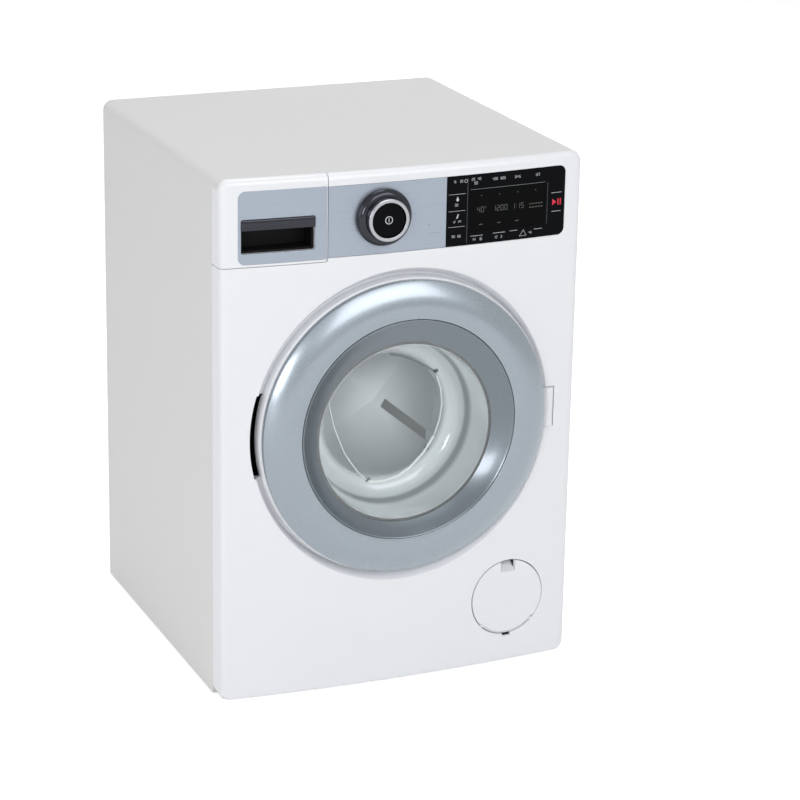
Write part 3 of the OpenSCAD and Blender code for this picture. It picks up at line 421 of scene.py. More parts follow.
def outward(loop: Array) -> Array:
    """Unit normals of a closed anticlockwise x-z outline: the mean of both sides' normals.

    Where a curve runs into an upright or level side, the normal is that side's own.
    """
    before = loop - np.roll(loop, 1, 0)
    after = np.roll(loop, -1, 0) - loop
    before /= np.linalg.norm(before, axis=1, keepdims=True)
    after /= np.linalg.norm(after, axis=1, keepdims=True)
    along = before + after
    smooth = np.sum(before * after, 1) > 0.9
    for side in (before, after):
        square = smooth & (np.abs(side).min(1) < 1e-6)
        along[square] = side[square]
    normal = np.stack([along[:, 1], -along[:, 0]], 1)
    return normal / np.linalg.norm(normal, axis=1, keepdims=True)


class Shell:
    """Collects points and faces of one piece, and makes it a mesh."""

    place_y = 0.0

    def __init__(self) -> None:
        """Starts empty."""
        self.points: list[Array] = []
        self.faces: list[Array] = []
        self.count = 0

    def add(self, points: Array) -> Array:
        """Adds points (..., 3). Returns their numbers in the same arrangement."""
        shape = points.shape[:-1]
        number = np.arange(self.count, self.count + math.prod(shape)).reshape(shape)
        self.points.append(points.reshape(-1, 3))
        self.count += number.size
        return number

    def grid(self, number: Array, close_u: bool = False, close_v: bool = False) -> None:
        """Joins a grid of point numbers (U, V) with quads, round the ends where asked."""
        if close_u:
            number = np.concatenate([number, number[:1]], 0)
        if close_v:
            number = np.concatenate([number, number[:, :1]], 1)
        quads = np.stack([number[:-1, :-1], number[:-1, 1:], number[1:, 1:], number[1:, :-1]], -1)
        self.faces.append(quads.reshape(-1, 4))

    def cap(self, ring: Array) -> None:
        """Closes a ring of point numbers with a fan to its middle."""
        middle = self.add(np.concatenate(self.points)[ring].mean(0)[None])[0]
        after = np.roll(ring, -1)
        self.faces.append(np.stack([ring, after, np.full_like(ring, middle)], 1))

    def ends(self, number: Array) -> None:
        """Closes the first and the last ring of a grid."""
        self.cap(number[0])
        self.cap(number[-1])

    def revolve(self, profile: Array, centre: Floats, segments: int = 192,
                drop: Array | float = 0.0, closed: bool = True) -> Array:
        """A surface round an axis along y.

        x = centre x + radius sin(angle), z = centre z - drop + radius cos(angle), and y comes from
        the profile.

        Args:
            profile: radius and y of each ring, (N, 2).
            centre: x and z of the axis.
            segments: points round each ring.
            drop: how far each ring's centre lies below the axis.
            closed: whether the last ring joins the first. If not, the two ends are capped.

        Returns:
            The point numbers, (N, segments).
        """
        angle = np.linspace(0, TURN, segments, endpoint=False)[None]
        radius = profile[:, :1]
        low = np.broadcast_to(np.asarray(drop, float), len(profile))[:, None]
        x = centre[0] + radius * np.sin(angle)
        z = centre[1] - low + radius * np.cos(angle)
        number = self.add(np.stack([x, np.broadcast_to(profile[:, 1:], x.shape), z], -1))
        self.grid(number, close_u=closed, close_v=True)
        if not closed:
            self.ends(number)
        return number

    def fill(self, loops: Sequence[Array], height: Height, pitch: float = 6.0) -> None:
        """Fills the space between outlines with triangles on a height field y = height(x, z).

        Args:
            loops: rings of point numbers. A place inside an odd number of them is filled.
            height: y over x and z.
            pitch: distance between the inner points.
        """
        known = np.concatenate(self.points)
        lines = [known[ring][:, [0, 2]] for ring in loops]
        rim = np.concatenate(lines)
        sides, start = [], 0
        for part in lines:
            index = np.arange(start, start + len(part))
            sides.append(np.stack([index, np.roll(index, -1)], 1))
            start += len(part)
        low, high = rim.min(0), rim.max(0)
        axes = [np.arange(low[k] + pitch / 2, high[k], pitch) for k in (0, 1)]
        free = np.stack(np.meshgrid(*axes), -1).reshape(-1, 2)
        free = free[inside(free, lines)]
        gap = np.array([np.min(np.sum((rim - p) ** 2, 1)) for p in free]) if len(free) else np.zeros(0)
        free = free[gap > (0.55 * pitch) ** 2]
        seeds = np.concatenate([rim, free])
        result = delaunay_2d_cdt(seeds.tolist(), np.concatenate(sides).tolist(), [], 0, 1e-6)
        where = np.array([tuple(p) for p in result[0]])
        triangles = np.array([list(t) for t in result[2]])
        triangles = triangles[inside(where[triangles].mean(1), lines)]
        owner = np.full(len(seeds), -1)
        owner[:len(rim)] = np.concatenate(loops)
        source = np.array([ids[0] if ids else -1 for ids in result[3]])
        number = np.where(source >= 0, owner[source], -1)
        fresh = np.flatnonzero(number < 0)
        spots = where[fresh]
        made = np.stack([spots[:, 0], height(spots[:, 0], spots[:, 1]), spots[:, 1]], 1)
        number[fresh] = self.add(made)
        self.faces.append(number[triangles])

    def rim(self, outline: Array, stations: Sequence[tuple[object, object]], height: Height,
            sign: float = 1.0) -> Array:
        """Carries a profile round an x-z outline, from the face into the depth.

        A station's points are the outline moved by its offset along the outward normal, and its y is
        the face's height there plus the depth, or a fixed y where the station says so.

        Args:
            outline: closed anticlockwise line, (N, 2).
            stations: offset and depth of each, numbers or one value per point. A depth in a
                one-element list is a fixed y.
            height: y of the face over x and z.
            sign: 1 where depth runs to the rear, -1 where it runs to the front.

        Returns:
            The point numbers, (stations, N). The first belongs to the face.
        """
        normal = outward(outline)
        rows = []
        for offset, depth in stations:
            spot = outline + normal * np.broadcast_to(np.asarray(offset, float), len(outline))[:, None]
            if isinstance(depth, list):
                y = np.broadcast_to(np.asarray(depth[0], float), len(outline))
            else:
                y = height(spot[:, 0], spot[:, 1]) + sign * np.asarray(depth, float)
            rows.append(np.stack([spot[:, 0], y, spot[:, 1]], 1))
        number = self.add(np.stack(rows))
        self.grid(number, close_v=True)
        return number

    def make(self, name: str, smooth: float = 34.0) -> Piece:
        """Builds the mesh: doubles merged, empty faces dropped, normals turned outwards.

        Args:
            name: the piece's name.
            smooth: largest angle between faces that shade as one, in degrees.

        Returns:
            The new object, which sits at the origin.
        """
        mesh = bpy.data.meshes.new(name)
        points = (np.concatenate(self.points) + (0, self.place_y, 0)) * MM
        mesh.from_pydata(points.tolist(), [], [f for block in self.faces for f in block.tolist()])
        work = bmesh.new()
        work.from_mesh(mesh)
        bmesh.ops.remove_doubles(work, verts=work.verts, dist=2e-7)
        bmesh.ops.dissolve_degenerate(work, edges=work.edges, dist=1e-7)
        bmesh.ops.recalc_face_normals(work, faces=work.faces)
        work.to_mesh(mesh)
        work.free()
        made = bpy.data.objects.new(name, mesh)
        bpy.context.scene.collection.objects.link(made)
        soften(made, smooth)
        return made


def soften(piece: Piece, angle: float) -> None:
    """Shades a piece smooth, apart from edges sharper than an angle in degrees."""
    piece.data.shade_smooth()
    piece.data.set_sharp_from_angle(angle=math.radians(angle))


def combine(piece: Piece, other: Piece, how: str, angle: float = 34.0) -> None:
    """Cuts, joins or limits a piece by another, which is then removed.

    Args:
        piece: what is kept.
        other: the tool, used up.
        how: DIFFERENCE, UNION or INTERSECT.
        angle: smoothing angle of the result, in degrees.
    """
    step = piece.modifiers.new("combine", "BOOLEAN")
    step.object = other
    step.operation = how
    step.solver = "EXACT"
    graph = bpy.context.evaluated_depsgraph_get()
    result = bpy.data.meshes.new_from_object(piece.evaluated_get(graph))
    piece.modifiers.remove(step)
    piece.data = result
    bpy.data.objects.remove(other)
    soften(piece, angle)


def prism(outline: Array, low: float, high: float, upright: bool = False) -> Piece:
    """A straight block with a closed anticlockwise x-z outline between two y, or x-y between two z."""
    block = Shell()
    number = block.rim(outline, [(0, [low]), (0, [high])], flat(0.0))
    block.fill([number[0]], flat(low), 1000.0)
    block.fill([number[1]], flat(high), 1000.0)
    if upright:
        block.points = [part[..., [0, 2, 1]] for part in block.points]
    return block.make("tool")


def rectangle(x0: float, x1: float, z0: float, z1: float, radii: Floats | float = 0.0,
              steps: int = 6) -> Array:
    """Anticlockwise x-z rectangle with circular corners, from the lower left one on."""
    reach = np.broadcast_to(np.asarray(radii, float), 4)
    spots = ((x0, z0, 180), (x1, z0, 270), (x1, z1, 0), (x0, z1, 90))
    parts = []
    for (x, z, start), r in zip(spots, reach):
        middle = (x + (r if x == x0 else -r), z + (r if z == z0 else -r))
        parts.append(arc(r, start, start + 90, steps + 1) + middle if r else np.array([[x, z]]))
    return np.concatenate(parts)


def fillet(radius: Array | float, steps: int = 4, guard: float = 0.3, side: int = 1) -> list:
    """Offsets and depths of a quarter round from a face to its wall, with a flat guard strip first.

    side is 1 on an outer edge, and -1 on the edge of a hole, whose material lies outside it.
    """
    turn = np.radians(np.linspace(0, 90, steps + 1))
    curve = [(-side * radius * (1 - math.sin(a)), radius * (1 - math.cos(a))) for a in turn]
    return [(-side * (radius + guard), 0.0), *curve]


# front surface


BOW_R = 858.125
BOW_Y = 853.125
HALF, LOW, HIGH, CORNER = 92.5, 0.8, 260.0, 5.0
DOOR, DROP = (0.0, 132.4), 3.0
KNUCKLE, KNUCKLE_Z, KNUCKLE_R, KNUCKLE_GAP = (78.0, -0.2), (122.4, 142.4), 2.9, 0.3
KNOB = (-13.0, 237.5)


def bow(x: Array, z: Array | None = None) -> Array:
    """y of the bowed front: BOW_Y less the root of BOW_R squared minus x squared."""
    return BOW_Y - np.sqrt(BOW_R ** 2 - np.asarray(x) ** 2)


def behind(depth: float, face: Height = bow) -> Height:
    """A height field moved to the rear by a depth. It is the bowed front's where none is given."""
    return lambda x, z: face(x, z) + depth


def flat(y: float) -> Height:
    """A height field that is y everywhere."""
    return lambda x, z: np.asarray(x) * 0 + y


def circle(radius: float, centre: Floats, count: int = 192) -> Array:
    """Anticlockwise x-z circle: centre plus radius times cosine and sine."""
    return arc(radius, 0, 360, count + 1)[:-1] + np.asarray(centre, float)


def plate(shell: Shell, outline: Array, near: float, far: float, edge: float = 0.15,
          holes: Sequence[Array] = (), face: Height = bow, pitch: float = 6.0) -> None:
    """Adds a plate that follows a height field.

    Args:
        shell: what the plate is added to.
        outline: closed anticlockwise x-z line.
        near: depth of its front below the field.
        far: depth of its back.
        edge: radius of its front edges.
        holes: outlines of its through holes.
        face: the field.
        pitch: distance between inner points.
    """
    front, rear = behind(near, face), behind(far, face)
    fronts, rears = [], []
    for line, side in ((outline, 1), *((hole, -1) for hole in holes)):
        stations = fillet(edge, 3, min(0.3, edge), side) if edge else [(0.0, 0.0)]
        stations.append((0.0, [rear(line[:, 0], line[:, 1])]))
        number = shell.rim(line, stations, front)
        fronts.append(number[0])
        rears.append(number[-1])
    shell.fill(fronts, front, pitch)
    shell.fill(rears, rear, pitch * 3)


def sheet(name: str, *form: object) -> Piece:
    """A piece that is one plate. Args: its name, then what plate() takes after the shell."""
    shell = Shell()
    plate(shell, *form)
    return shell.make(name)


def turned(name: str, profile: Array, centre: Floats, segments: int, smooth: float = 34.0,
           **how: object) -> Piece:
    """A piece that is one revolved profile, with Shell.revolve()'s own arguments and a smoothing angle."""
    shell = Shell()
    shell.revolve(profile, centre, segments, **how)
    return shell.make(name, smooth)


@dataclass
class Front:
    """The bowed front moulding with its door well, control strip recess and flap hole."""

    side_r: float = 3.0
    top_r: float = 3.5
    foot_r: float = 0.5
    side_back: float = 10.3
    seam_z: float = 254.85
    skin: float = 2.4
    wall: float = 2.2
    mouth_r: float = 79.3
    taper: float = 3.9
    taper_depth: float = 7.5
    floor_r: float = 75.4
    floor_y: float = 1.5
    hole_r: float = 58.0
    cup_r: float = 77.8
    cup_back: float = 3.9
    slot_r: float = 78.0
    slot: Pair = (113.45, 154.95)
    slot_x: float = -69.4
    catch: Four = (-68.5, -62.5, 126.4, 138.4)
    boss: Four = (76.6, 90.2, 115.4, 149.4)
    boss_y: Pair = (0.2, 5.7)
    strip: Four = (-46.0, 83.2, 219.6, 254.0)
    strip_depth: float = 1.6
    display: Four = (29.9, 73.9, 224.2, 248.2)
    flap: Pair = (58.3, 34.7)
    flap_r: float = 19.9
    notch: Four = (56.2, 60.6, 13.8, 17.0)
    drawer: Pair = (-40.3, 217.8)

    def edge(self, line: Array) -> Array:
        """Radius of the front edge along an outline: side, top and foot weigh by the normal."""
        side, up = outward(line).T
        return (self.side_r * side ** 2 + self.top_r * np.clip(up, 0, 1) ** 2
                + self.foot_r * np.clip(-up, 0, 1) ** 2)

    def outline(self) -> Array:
        """The front seen square on, with a point where the side return ends under the top corners."""
        line = rectangle(-HALF, HALF, LOW, HIGH, CORNER, 8)
        return even(np.insert(line, [18, 36], [(HALF, self.seam_z), (-HALF, self.seam_z)], 0), 6.0)

    def returns(self, line: Array) -> tuple[Array, Array]:
        """Wall thickness and rear edge of the returns at each point of the outline."""
        side, up = outward(line).T
        back = np.where(up < -0.8, bow(line[:, 0]) + self.skin, self.side_back)
        back = np.where(line[:, 1] > self.seam_z + 0.01, bow(line[:, 0]) + self.top_r, back)
        return self.wall * side ** 2 + self.skin * np.clip(up, 0, 1) ** 2, back

    def corner_block(self, gap: float = 0.0) -> Array:
        """x-z outline of the drawer's corner of the front."""
        return rectangle(-100.0, self.drawer[0] - gap, self.drawer[1] + gap, 270.0, [0, 1.5, 0, 0], 8)

    def well_mouth(self, angle: Array) -> Array:
        """Radius where the well's cone meets the bow, by four rounds of the cone's formula."""
        radius = np.full(len(angle), 77.0)
        for _ in range(4):
            radius = self.mouth_r - self.taper * (bow(radius * np.cos(angle)) + 6.0) / self.taper_depth
        return radius

    def well(self, shell: Shell) -> tuple[Array, Array]:
        """Adds the well from its mouth to the cup behind it. Returns the face's loop and the back's."""
        angle = np.linspace(0, TURN, 240, endpoint=False)
        unit = np.stack([np.cos(angle), np.sin(angle)], 1)
        mouth = self.well_mouth(angle)

        def ring(radius: Array | float, y: Array | float | None = None) -> Array:
            """Points at a radius, on the bow where no y is given."""
            spot = unit * np.broadcast_to(radius, len(unit))[:, None]
            depth = bow(spot[:, 0]) if y is None else np.broadcast_to(y, len(unit))
            return np.stack([spot[:, 0] + DOOR[0], depth, spot[:, 1] + DOOR[1]], 1)

        edge = bow(unit[:, 0] * mouth)
        rows = [ring(mouth + 0.8), ring(mouth + 0.5)]
        rows += [ring(mouth + 0.5 * (1 - math.sin(t)) - 0.2 * (1 - math.cos(t)),
                      edge + 0.5 * (1 - math.cos(t))) for t in np.radians((22, 45, 68, 90))]
        rows += [ring(mouth + (self.floor_r - mouth) * k, edge + (self.floor_y - edge) * k)
                 for k in (0.35, 0.6, 0.8)]
        hole, floor = self.hole_r, self.floor_y
        rows += [ring(*spot) for spot in (
            (self.floor_r, floor), (self.floor_r - 6, floor), (hole + 0.5, floor),
            (hole + 0.15, floor + 0.15), (hole, floor + 0.5), (hole, self.cup_back),
            (self.cup_r, self.cup_back), (self.cup_r, bow(unit[:, 0] * self.cup_r) + self.skin))]
        number = shell.add(np.stack(rows))
        shell.grid(number, close_v=True)
        return number[0], number[-1]

    def build(self) -> Piece:
        """The whole front moulding, cut by the drawer's corner, the finger slot and the hinge pocket."""
        shell = Shell()
        line = self.outline()
        wall, back = self.returns(line)
        inner = bow((line - outward(line) * wall[:, None])[:, 0]) + self.skin
        rim = shell.rim(line, [*fillet(self.edge(line), 6), (0.0, [back]), (-wall, [np.maximum(back, inner)]),
                               (-wall, [inner])], bow)
        mouth, cup = self.well(shell)
        hole = shell.rim(circle(self.flap_r, self.flap, 144),
                         [*fillet(0.35, 3, 0.3, -1), (0.0, self.skin)], bow)
        strip = even(rectangle(*self.strip, [0, 3.5, 3.5, 0], 6), 6.0)
        recess = shell.rim(strip, [*fillet(0.15, 2, 0.15, -1), (0.0, self.strip_depth)], bow)
        shell.fill([rim[0], mouth, hole[0], recess[0]], bow)
        through = [shell.rim(part, [(0.0, self.strip_depth), (0.0, self.skin)], bow)
                   for part in (even(rectangle(*self.display), 6.0), circle(4.07, KNOB, 48))]
        shell.fill([recess[-1], through[0][0], through[1][0]], behind(self.strip_depth), 12.0)
        shell.fill([rim[-1], cup, hole[-1], through[0][-1], through[1][-1]], behind(self.skin), 14.0)
        piece = shell.make("front_moulding")
        combine(piece, prism(rectangle(*self.boss), *self.boss_y), "UNION")
        inner_end = [(self.slot_x, edge) for edge in self.slot]
        slot = np.concatenate([arc(self.slot_r, *self.slot_angles(), 24) + DOOR, inner_end])
        for cutter, rear in ((self.corner_block(), 30), (slot, 20), (rectangle(*self.catch), 20),
                             (rectangle(*self.notch), 20)):
            combine(piece, prism(cutter, -12, rear), "DIFFERENCE")
        low, high = KNUCKLE_Z
        combine(piece, prism(hinge_pocket(), low - KNUCKLE_GAP, high + KNUCKLE_GAP, True), "DIFFERENCE")
        return piece

    def slot_angles(self) -> Pair:
        """Angles on the well's outer circle where the finger slot's upper and lower edges meet it."""
        high, low = (math.degrees(math.asin((edge - DOOR[1]) / self.slot_r)) for edge in self.slot[::-1])
        return 180 - high, 180 - low


def hinge_pocket() -> Array:
    """x-y outline of the pocket round the door's knuckle: a box whose rear corner is a quarter round."""
    radius = KNUCKLE_R + KNUCKLE_GAP
    curve = arc(radius, 0, 90, 12) + KNUCKLE
    x, y = KNUCKLE
    return np.concatenate([[(72.4, -12.0), (x + radius, -12.0)], curve, [(72.4, y + radius)]])


@dataclass
class Drawer:
    """The dispenser drawer's front, its silver inlay and its grip bar."""

    front: Front = field(default_factory=Front)
    back: float = 3.0
    inlay: Four = (-83.7, -40.9, 219.2, 254.2)
    inlay_r: float = 3.5
    inlay_t: float = 0.6
    pull: Four = (-82.3, -46.7, 224.4, 240.8)
    bar: Pair = (235.2, 240.7)

    def recess(self, gap: float = 0.0) -> Array:
        """Outline of the inlay's recess, or of the inlay with a gap round it."""
        x0, x1, z0, z1 = self.inlay
        radius = self.inlay_r - gap
        return even(rectangle(x0 + gap, x1 - gap, z0 + gap, z1 - gap, [radius, 0.6, 0.6, radius], 6), 5.0)

    def opening(self) -> Array:
        """Outline of the finger opening."""
        return even(rectangle(*self.pull, 1.0, 4), 5.0)

    def build_front(self) -> Piece:
        """The moulding: the block of the whole front, limited to the drawer's corner."""
        shell = Shell()
        line = self.front.outline()
        wall, side = self.front.returns(line)
        inner = self.back
        rim = shell.rim(line, [*fillet(self.front.edge(line), 6), (0.0, [side]),
                               (-wall, [np.maximum(side, inner)]), (-wall, [inner])], bow)
        recess = shell.rim(self.recess(), [*fillet(0.12, 2, 0.1, -1), (0.0, self.inlay_t)], bow)
        opening = shell.rim(self.opening(), [(0.0, self.inlay_t), (0.0, [self.back])], bow)
        shell.fill([rim[0], recess[0]], bow)
        shell.fill([recess[-1], opening[0]], behind(self.inlay_t))
        shell.fill([rim[-1], opening[-1]], flat(self.back), 20.0)
        piece = shell.make("drawer_moulding")
        combine(piece, prism(self.front.corner_block(0.3), -12, 30), "INTERSECT")
        return piece

    def build_inlay(self) -> Piece:
        """The foil-covered plate round the finger opening."""
        return sheet("drawer_inlay_plate", self.recess(0.05), 0.0, self.inlay_t - 0.02, 0.12,
                     [self.opening()])

    def build_bar(self) -> Piece:
        """The grip bar: a rounded section carried along x, its depth measured from the bow."""
        low, high = self.bar
        section = rounded([(low, -0.55), (high, -0.55), (high, 1.55), (low, 1.55)], [1.1, 0.8, 0.3, 0.3], 5)
        crown = np.sin(np.clip((section[:, 0] - low) / (high - low), 0, 1) * np.pi) * 0.14
        x = np.linspace(self.pull[0] + 0.05, self.pull[1] - 0.05, 40)
        depth = bow(x)[:, None] + section[None, :, 1] - crown * (section[:, 1] < 0)
        shell = Shell()
        height = np.broadcast_to(section[None, :, 0], depth.shape)
        number = shell.add(np.stack([np.broadcast_to(x[:, None], depth.shape), depth, height], -1))
        shell.grid(number, close_v=True)
        shell.ends(number)
        return shell.make("drawer_grip_bar", 30)


@dataclass
class Cabinet:
    """The body shell: side walls, top and rear wall in one moulding."""

    depth: float = 180.0
    rear_r: float = 3.5
    wall: float = 2.2
    rear_t: float = 4.4
    cover: Four = (-74.0, 74.0, 20.0, 240.0)
    cover_depth: float = 2.6
    opening: Four = (-70.0, 70.0, 24.0, 236.0)
    lug: float = 16.0

    def cross(self) -> Array:
        """The rear opening: a rectangle less a square lug in each corner."""
        x0, x1, z0, z1 = self.opening
        lug = self.lug
        return np.array([(x0 + lug, z0), (x1 - lug, z0), (x1 - lug, z0 + lug), (x1, z0 + lug), (x1, z1 - lug),
                         (x1 - lug, z1 - lug), (x1 - lug, z1), (x0 + lug, z1), (x0 + lug, z1 - lug),
                         (x0, z1 - lug), (x0, z0 + lug), (x0 + lug, z0 + lug)])

    def build(self) -> Piece:
        """Rear face, rounded rear edges, walls to the front seam, and the inside back to the rear wall."""
        shell = Shell()
        face, floor, inside_y = self.depth, self.depth - self.cover_depth, self.depth - self.rear_t
        line = rectangle(-HALF, HALF, -30.0, HIGH, [0, 0, CORNER, CORNER], 10)
        line = even(np.insert(line, [2, 24], [(HALF, 254.98), (-HALF, 254.98)], 0), 12.0)
        side = np.where(line[:, 1] > 254.99, bow(line[:, 0]) + 3.65, 10.45)
        rim = shell.rim(line, [*fillet(self.rear_r, 6), (0.0, [side]), (-self.wall, [side]),
                               (-self.wall, [inside_y])], flat(face), -1)
        recess = shell.rim(rectangle(*self.cover), [*fillet(0.25, 2, 0.2, -1), (0.0, self.cover_depth)],
                           flat(face), -1)
        hole = shell.rim(self.cross(), [(0.0, self.cover_depth), (0.0, self.rear_t)], flat(face), -1)
        for loops, y in (([rim[0], recess[0]], face), ([recess[-1], hole[0]], floor),
                         ([rim[-1], hole[-1]], inside_y)):
            shell.fill(loops, flat(y), 20.0)
        piece = shell.make("body_shell")
        combine(piece, prism(rectangle(-100, 100, -40, LOW), -20, 200), "DIFFERENCE")
        return piece


@dataclass
class Door:
    """Ring, bevel, clear bowl and white backing of the door."""

    ring_in: float = 55.3
    ring_out: float = 73.4
    dome_r: float = 22.0
    dome_at: float = 60.0
    dome_y: float = 10.0
    body_r: float = 74.4
    body_front: float = -4.9
    window_r: float = 45.5
    rear: float = 22.0

    def build_ring(self) -> Piece:
        """Domed ring: y = dome_y less the root of dome_r squared minus (r - dome_at) squared."""
        radius = np.linspace(self.ring_in, self.ring_out, 40)
        crown = self.dome_y - np.sqrt(self.dome_r ** 2 - (radius - self.dome_at) ** 2)
        corners = [(self.ring_out, self.body_front), (self.ring_in, self.body_front), *zip(radius, crown)]
        radii = [0.0, 0.0, 0.5, *[0.0] * 38, 0.9]
        return turned("door_trim_ring", rounded(corners, radii, 5), DOOR, 288)

    def build_bevel(self) -> Piece:
        """Cone from the ring's inner edge to the window, whose centre drops as it goes in."""
        k = np.linspace(0, 1, 16)
        wide, front, depth = 54.5, -11.5, 6.45
        inner = np.stack([wide + (self.window_r - wide) * k, front + depth * k + 0.25 * np.sin(k * np.pi)], 1)
        profile = np.concatenate([[(55.1, -11.35), (54.98, -11.55), (54.75, -11.62)], inner,
                                  [(45.55, -4.98), (47.1, -5.05)]])
        drop = np.clip((profile[:, 1] - front) / depth, 0, 1) * DROP
        return turned("door_inner_bevel", profile, DOOR, 288, drop=drop)

    def bowl(self, inset: float, front: float, back: float) -> Array:
        """Bowl wall: r = 33 - inset + 12.5 cos(a)^0.7 and y = front + (back - front) sin(a)^0.8."""
        a = np.radians(np.linspace(0, 90, 28))
        c, s = np.clip(np.cos(a), 0, 1), np.sin(a)
        return np.stack([33 - inset + 12.5 * c ** 0.7, front + (back - front) * s ** 0.8], 1)

    def build_window(self) -> Piece:
        """Clear bowl with a flange and a flat rear face."""
        front, step, back, edge = -4.8, -3.4, self.rear + 1.6, 48.5
        profile = np.concatenate([[(2.0, back)], self.bowl(0.0, step, back)[::-1],
                                  [(edge, step), (edge, front)], self.bowl(1.6, front, self.rear),
                                  [(2.0, self.rear)]])
        return turned("door_bowl", profile, (DOOR[0], DOOR[1] - DROP), 240, 40, closed=False)

    def build_bead_highlight(self) -> Piece:
        """Raised line round the bowl's rear face, inside, coloured near white as a painted highlight along
        the rim's edge.
        """
        left = [(-29.2, 141.5), (-28.6, 137.3), (-26.0, 126.2), (-20.3, 112.0), (-13.2, 101.5), (-8.7, 97.1)]
        low = [(-7.0, 95.9), (-4.7, 95.3), (0.9, 95.2), (7.9, 96.8), (14.9, 100.7), (21.8, 107.5),
               (27.3, 115.8)]
        right = [low[-1], (30.0, 123.7), (31.2, 131.8), (30.3, 140.1), (28.2, 146.2)]
        return printed("bowl_bead_highlight", [ribbon(left, 0.5), ribbon(low, 1.1), ribbon(right, 0.6)],
                       flat(self.rear), 0.5, 0.05)

    def build_shade_and_tabs(self) -> Piece:
        """Painted shade as a grey band along the upper edge of the bowl's rear face, and its three small tabs
        in the same grey.
        """
        shapes = [ribbon([(3.2, 160.3), (9.5, 158.7), (16.5, 155.5), (23.6, 151.3), (27.2, 148.9)], 0.6)]
        for x, z, angle in ((27.6, 149.2, 25.0), (23.6, 109.6, -40.0), (-7.8, 96.9, 10.0)):
            shapes.append([np.stack(spun(rectangle(-1.2, 1.2, -0.9, 0.9), angle), 1) + (x, z)])
        return printed("bowl_shade_and_tabs", shapes, flat(self.rear), 0.4, 0.05)

    def build_body(self) -> Piece:
        """White backing ring with the finger flange, the knuckle and its web."""
        profile = [(48.7, -4.9), (73.8, -4.9), (74.25, -4.75), (74.4, -4.3), (74.4, 0.8), (74.25, 1.1),
                   (73.9, 1.2), (46.3, 1.2), (46.3, -3.3), (48.7, -3.3)]
        inner = np.array(profile)[:, 0] < 50
        piece = turned("door_backing", np.array(profile), DOOR, 288, drop=inner * DROP)
        low = math.degrees(math.asin((DOOR[1] - 114.25) / self.body_r))
        high = math.degrees(math.asin((154.15 - DOOR[1]) / self.body_r))
        flange = [arc(self.body_r, 180 - high, 180 + low, 24),
                  arc(self.body_r - 2, 180 + low, 180 - high, 24)]
        combine(piece, prism(np.concatenate(flange) + DOOR, 0.0, 2.0), "UNION")
        for outline in (rectangle(70.4, KNUCKLE[0], -1.4, 1.0), circle(KNUCKLE_R, KNUCKLE, 48)):
            combine(piece, prism(outline, *KNUCKLE_Z, True), "UNION")
        return piece


@dataclass
class Drum:
    """The drum's rear wall: a low four-sided pyramid with soft ridges and a slot."""

    turn: float = -50.0
    radius: float = 71.95
    tip: float = 36.0
    base: float = 62.0
    half: float = 46.67
    wall: float = 2.2
    soft: float = 9.0
    slot: Four = (7.5, 57.0, -4.6, 0.0)

    def height(self, x: Array, z: Array) -> Array:
        """y = tip + (base - tip) * (|a|^p + |b|^p)^(1/p) / half, eased into the flat rim at base."""
        a, b = spun(np.stack([x - DOOR[0], z - DOOR[1]], -1), 45 - self.turn)
        far = (np.abs(a) ** self.soft + np.abs(b) ** self.soft + 1e-3) ** (1 / self.soft)
        rise = self.tip + (self.base - self.tip) * far / self.half
        gap = np.clip(0.5 + (self.base - rise) / 3.0, 0, 1)
        return self.base * (1 - gap) + rise * gap - 0.75 * gap * (1 - gap)

    def build_back(self) -> Piece:
        """Front and rear surfaces over a polar grid, closed at the rim and in the middle."""
        radius = np.concatenate([[0.4], np.linspace(1.5, self.radius, 60)])[:, None]
        angle = np.linspace(0, TURN, 240, endpoint=False)
        x, z = DOOR[0] + radius * np.cos(angle), DOOR[1] + radius * np.sin(angle)
        front = self.height(x, z)
        shell = Shell()
        number = shell.add(np.concatenate([np.stack([x, front, z], -1),
                                           np.stack([x, front + self.wall, z], -1)[::-1]]))
        shell.grid(number, close_v=True)
        shell.ends(number)
        piece = shell.make("drum_rear_wall", 40)
        u, v = spun(rectangle(*self.slot), self.turn + 90)
        slot = np.stack([u + DOOR[0], DOOR[1] - v], 1)
        combine(piece, prism(slot[::-1], 20, 62.5), "DIFFERENCE")
        combine(piece, prism(circle(7.0, DOOR, 64), 46, 78), "UNION", 40)
        return piece


# knob


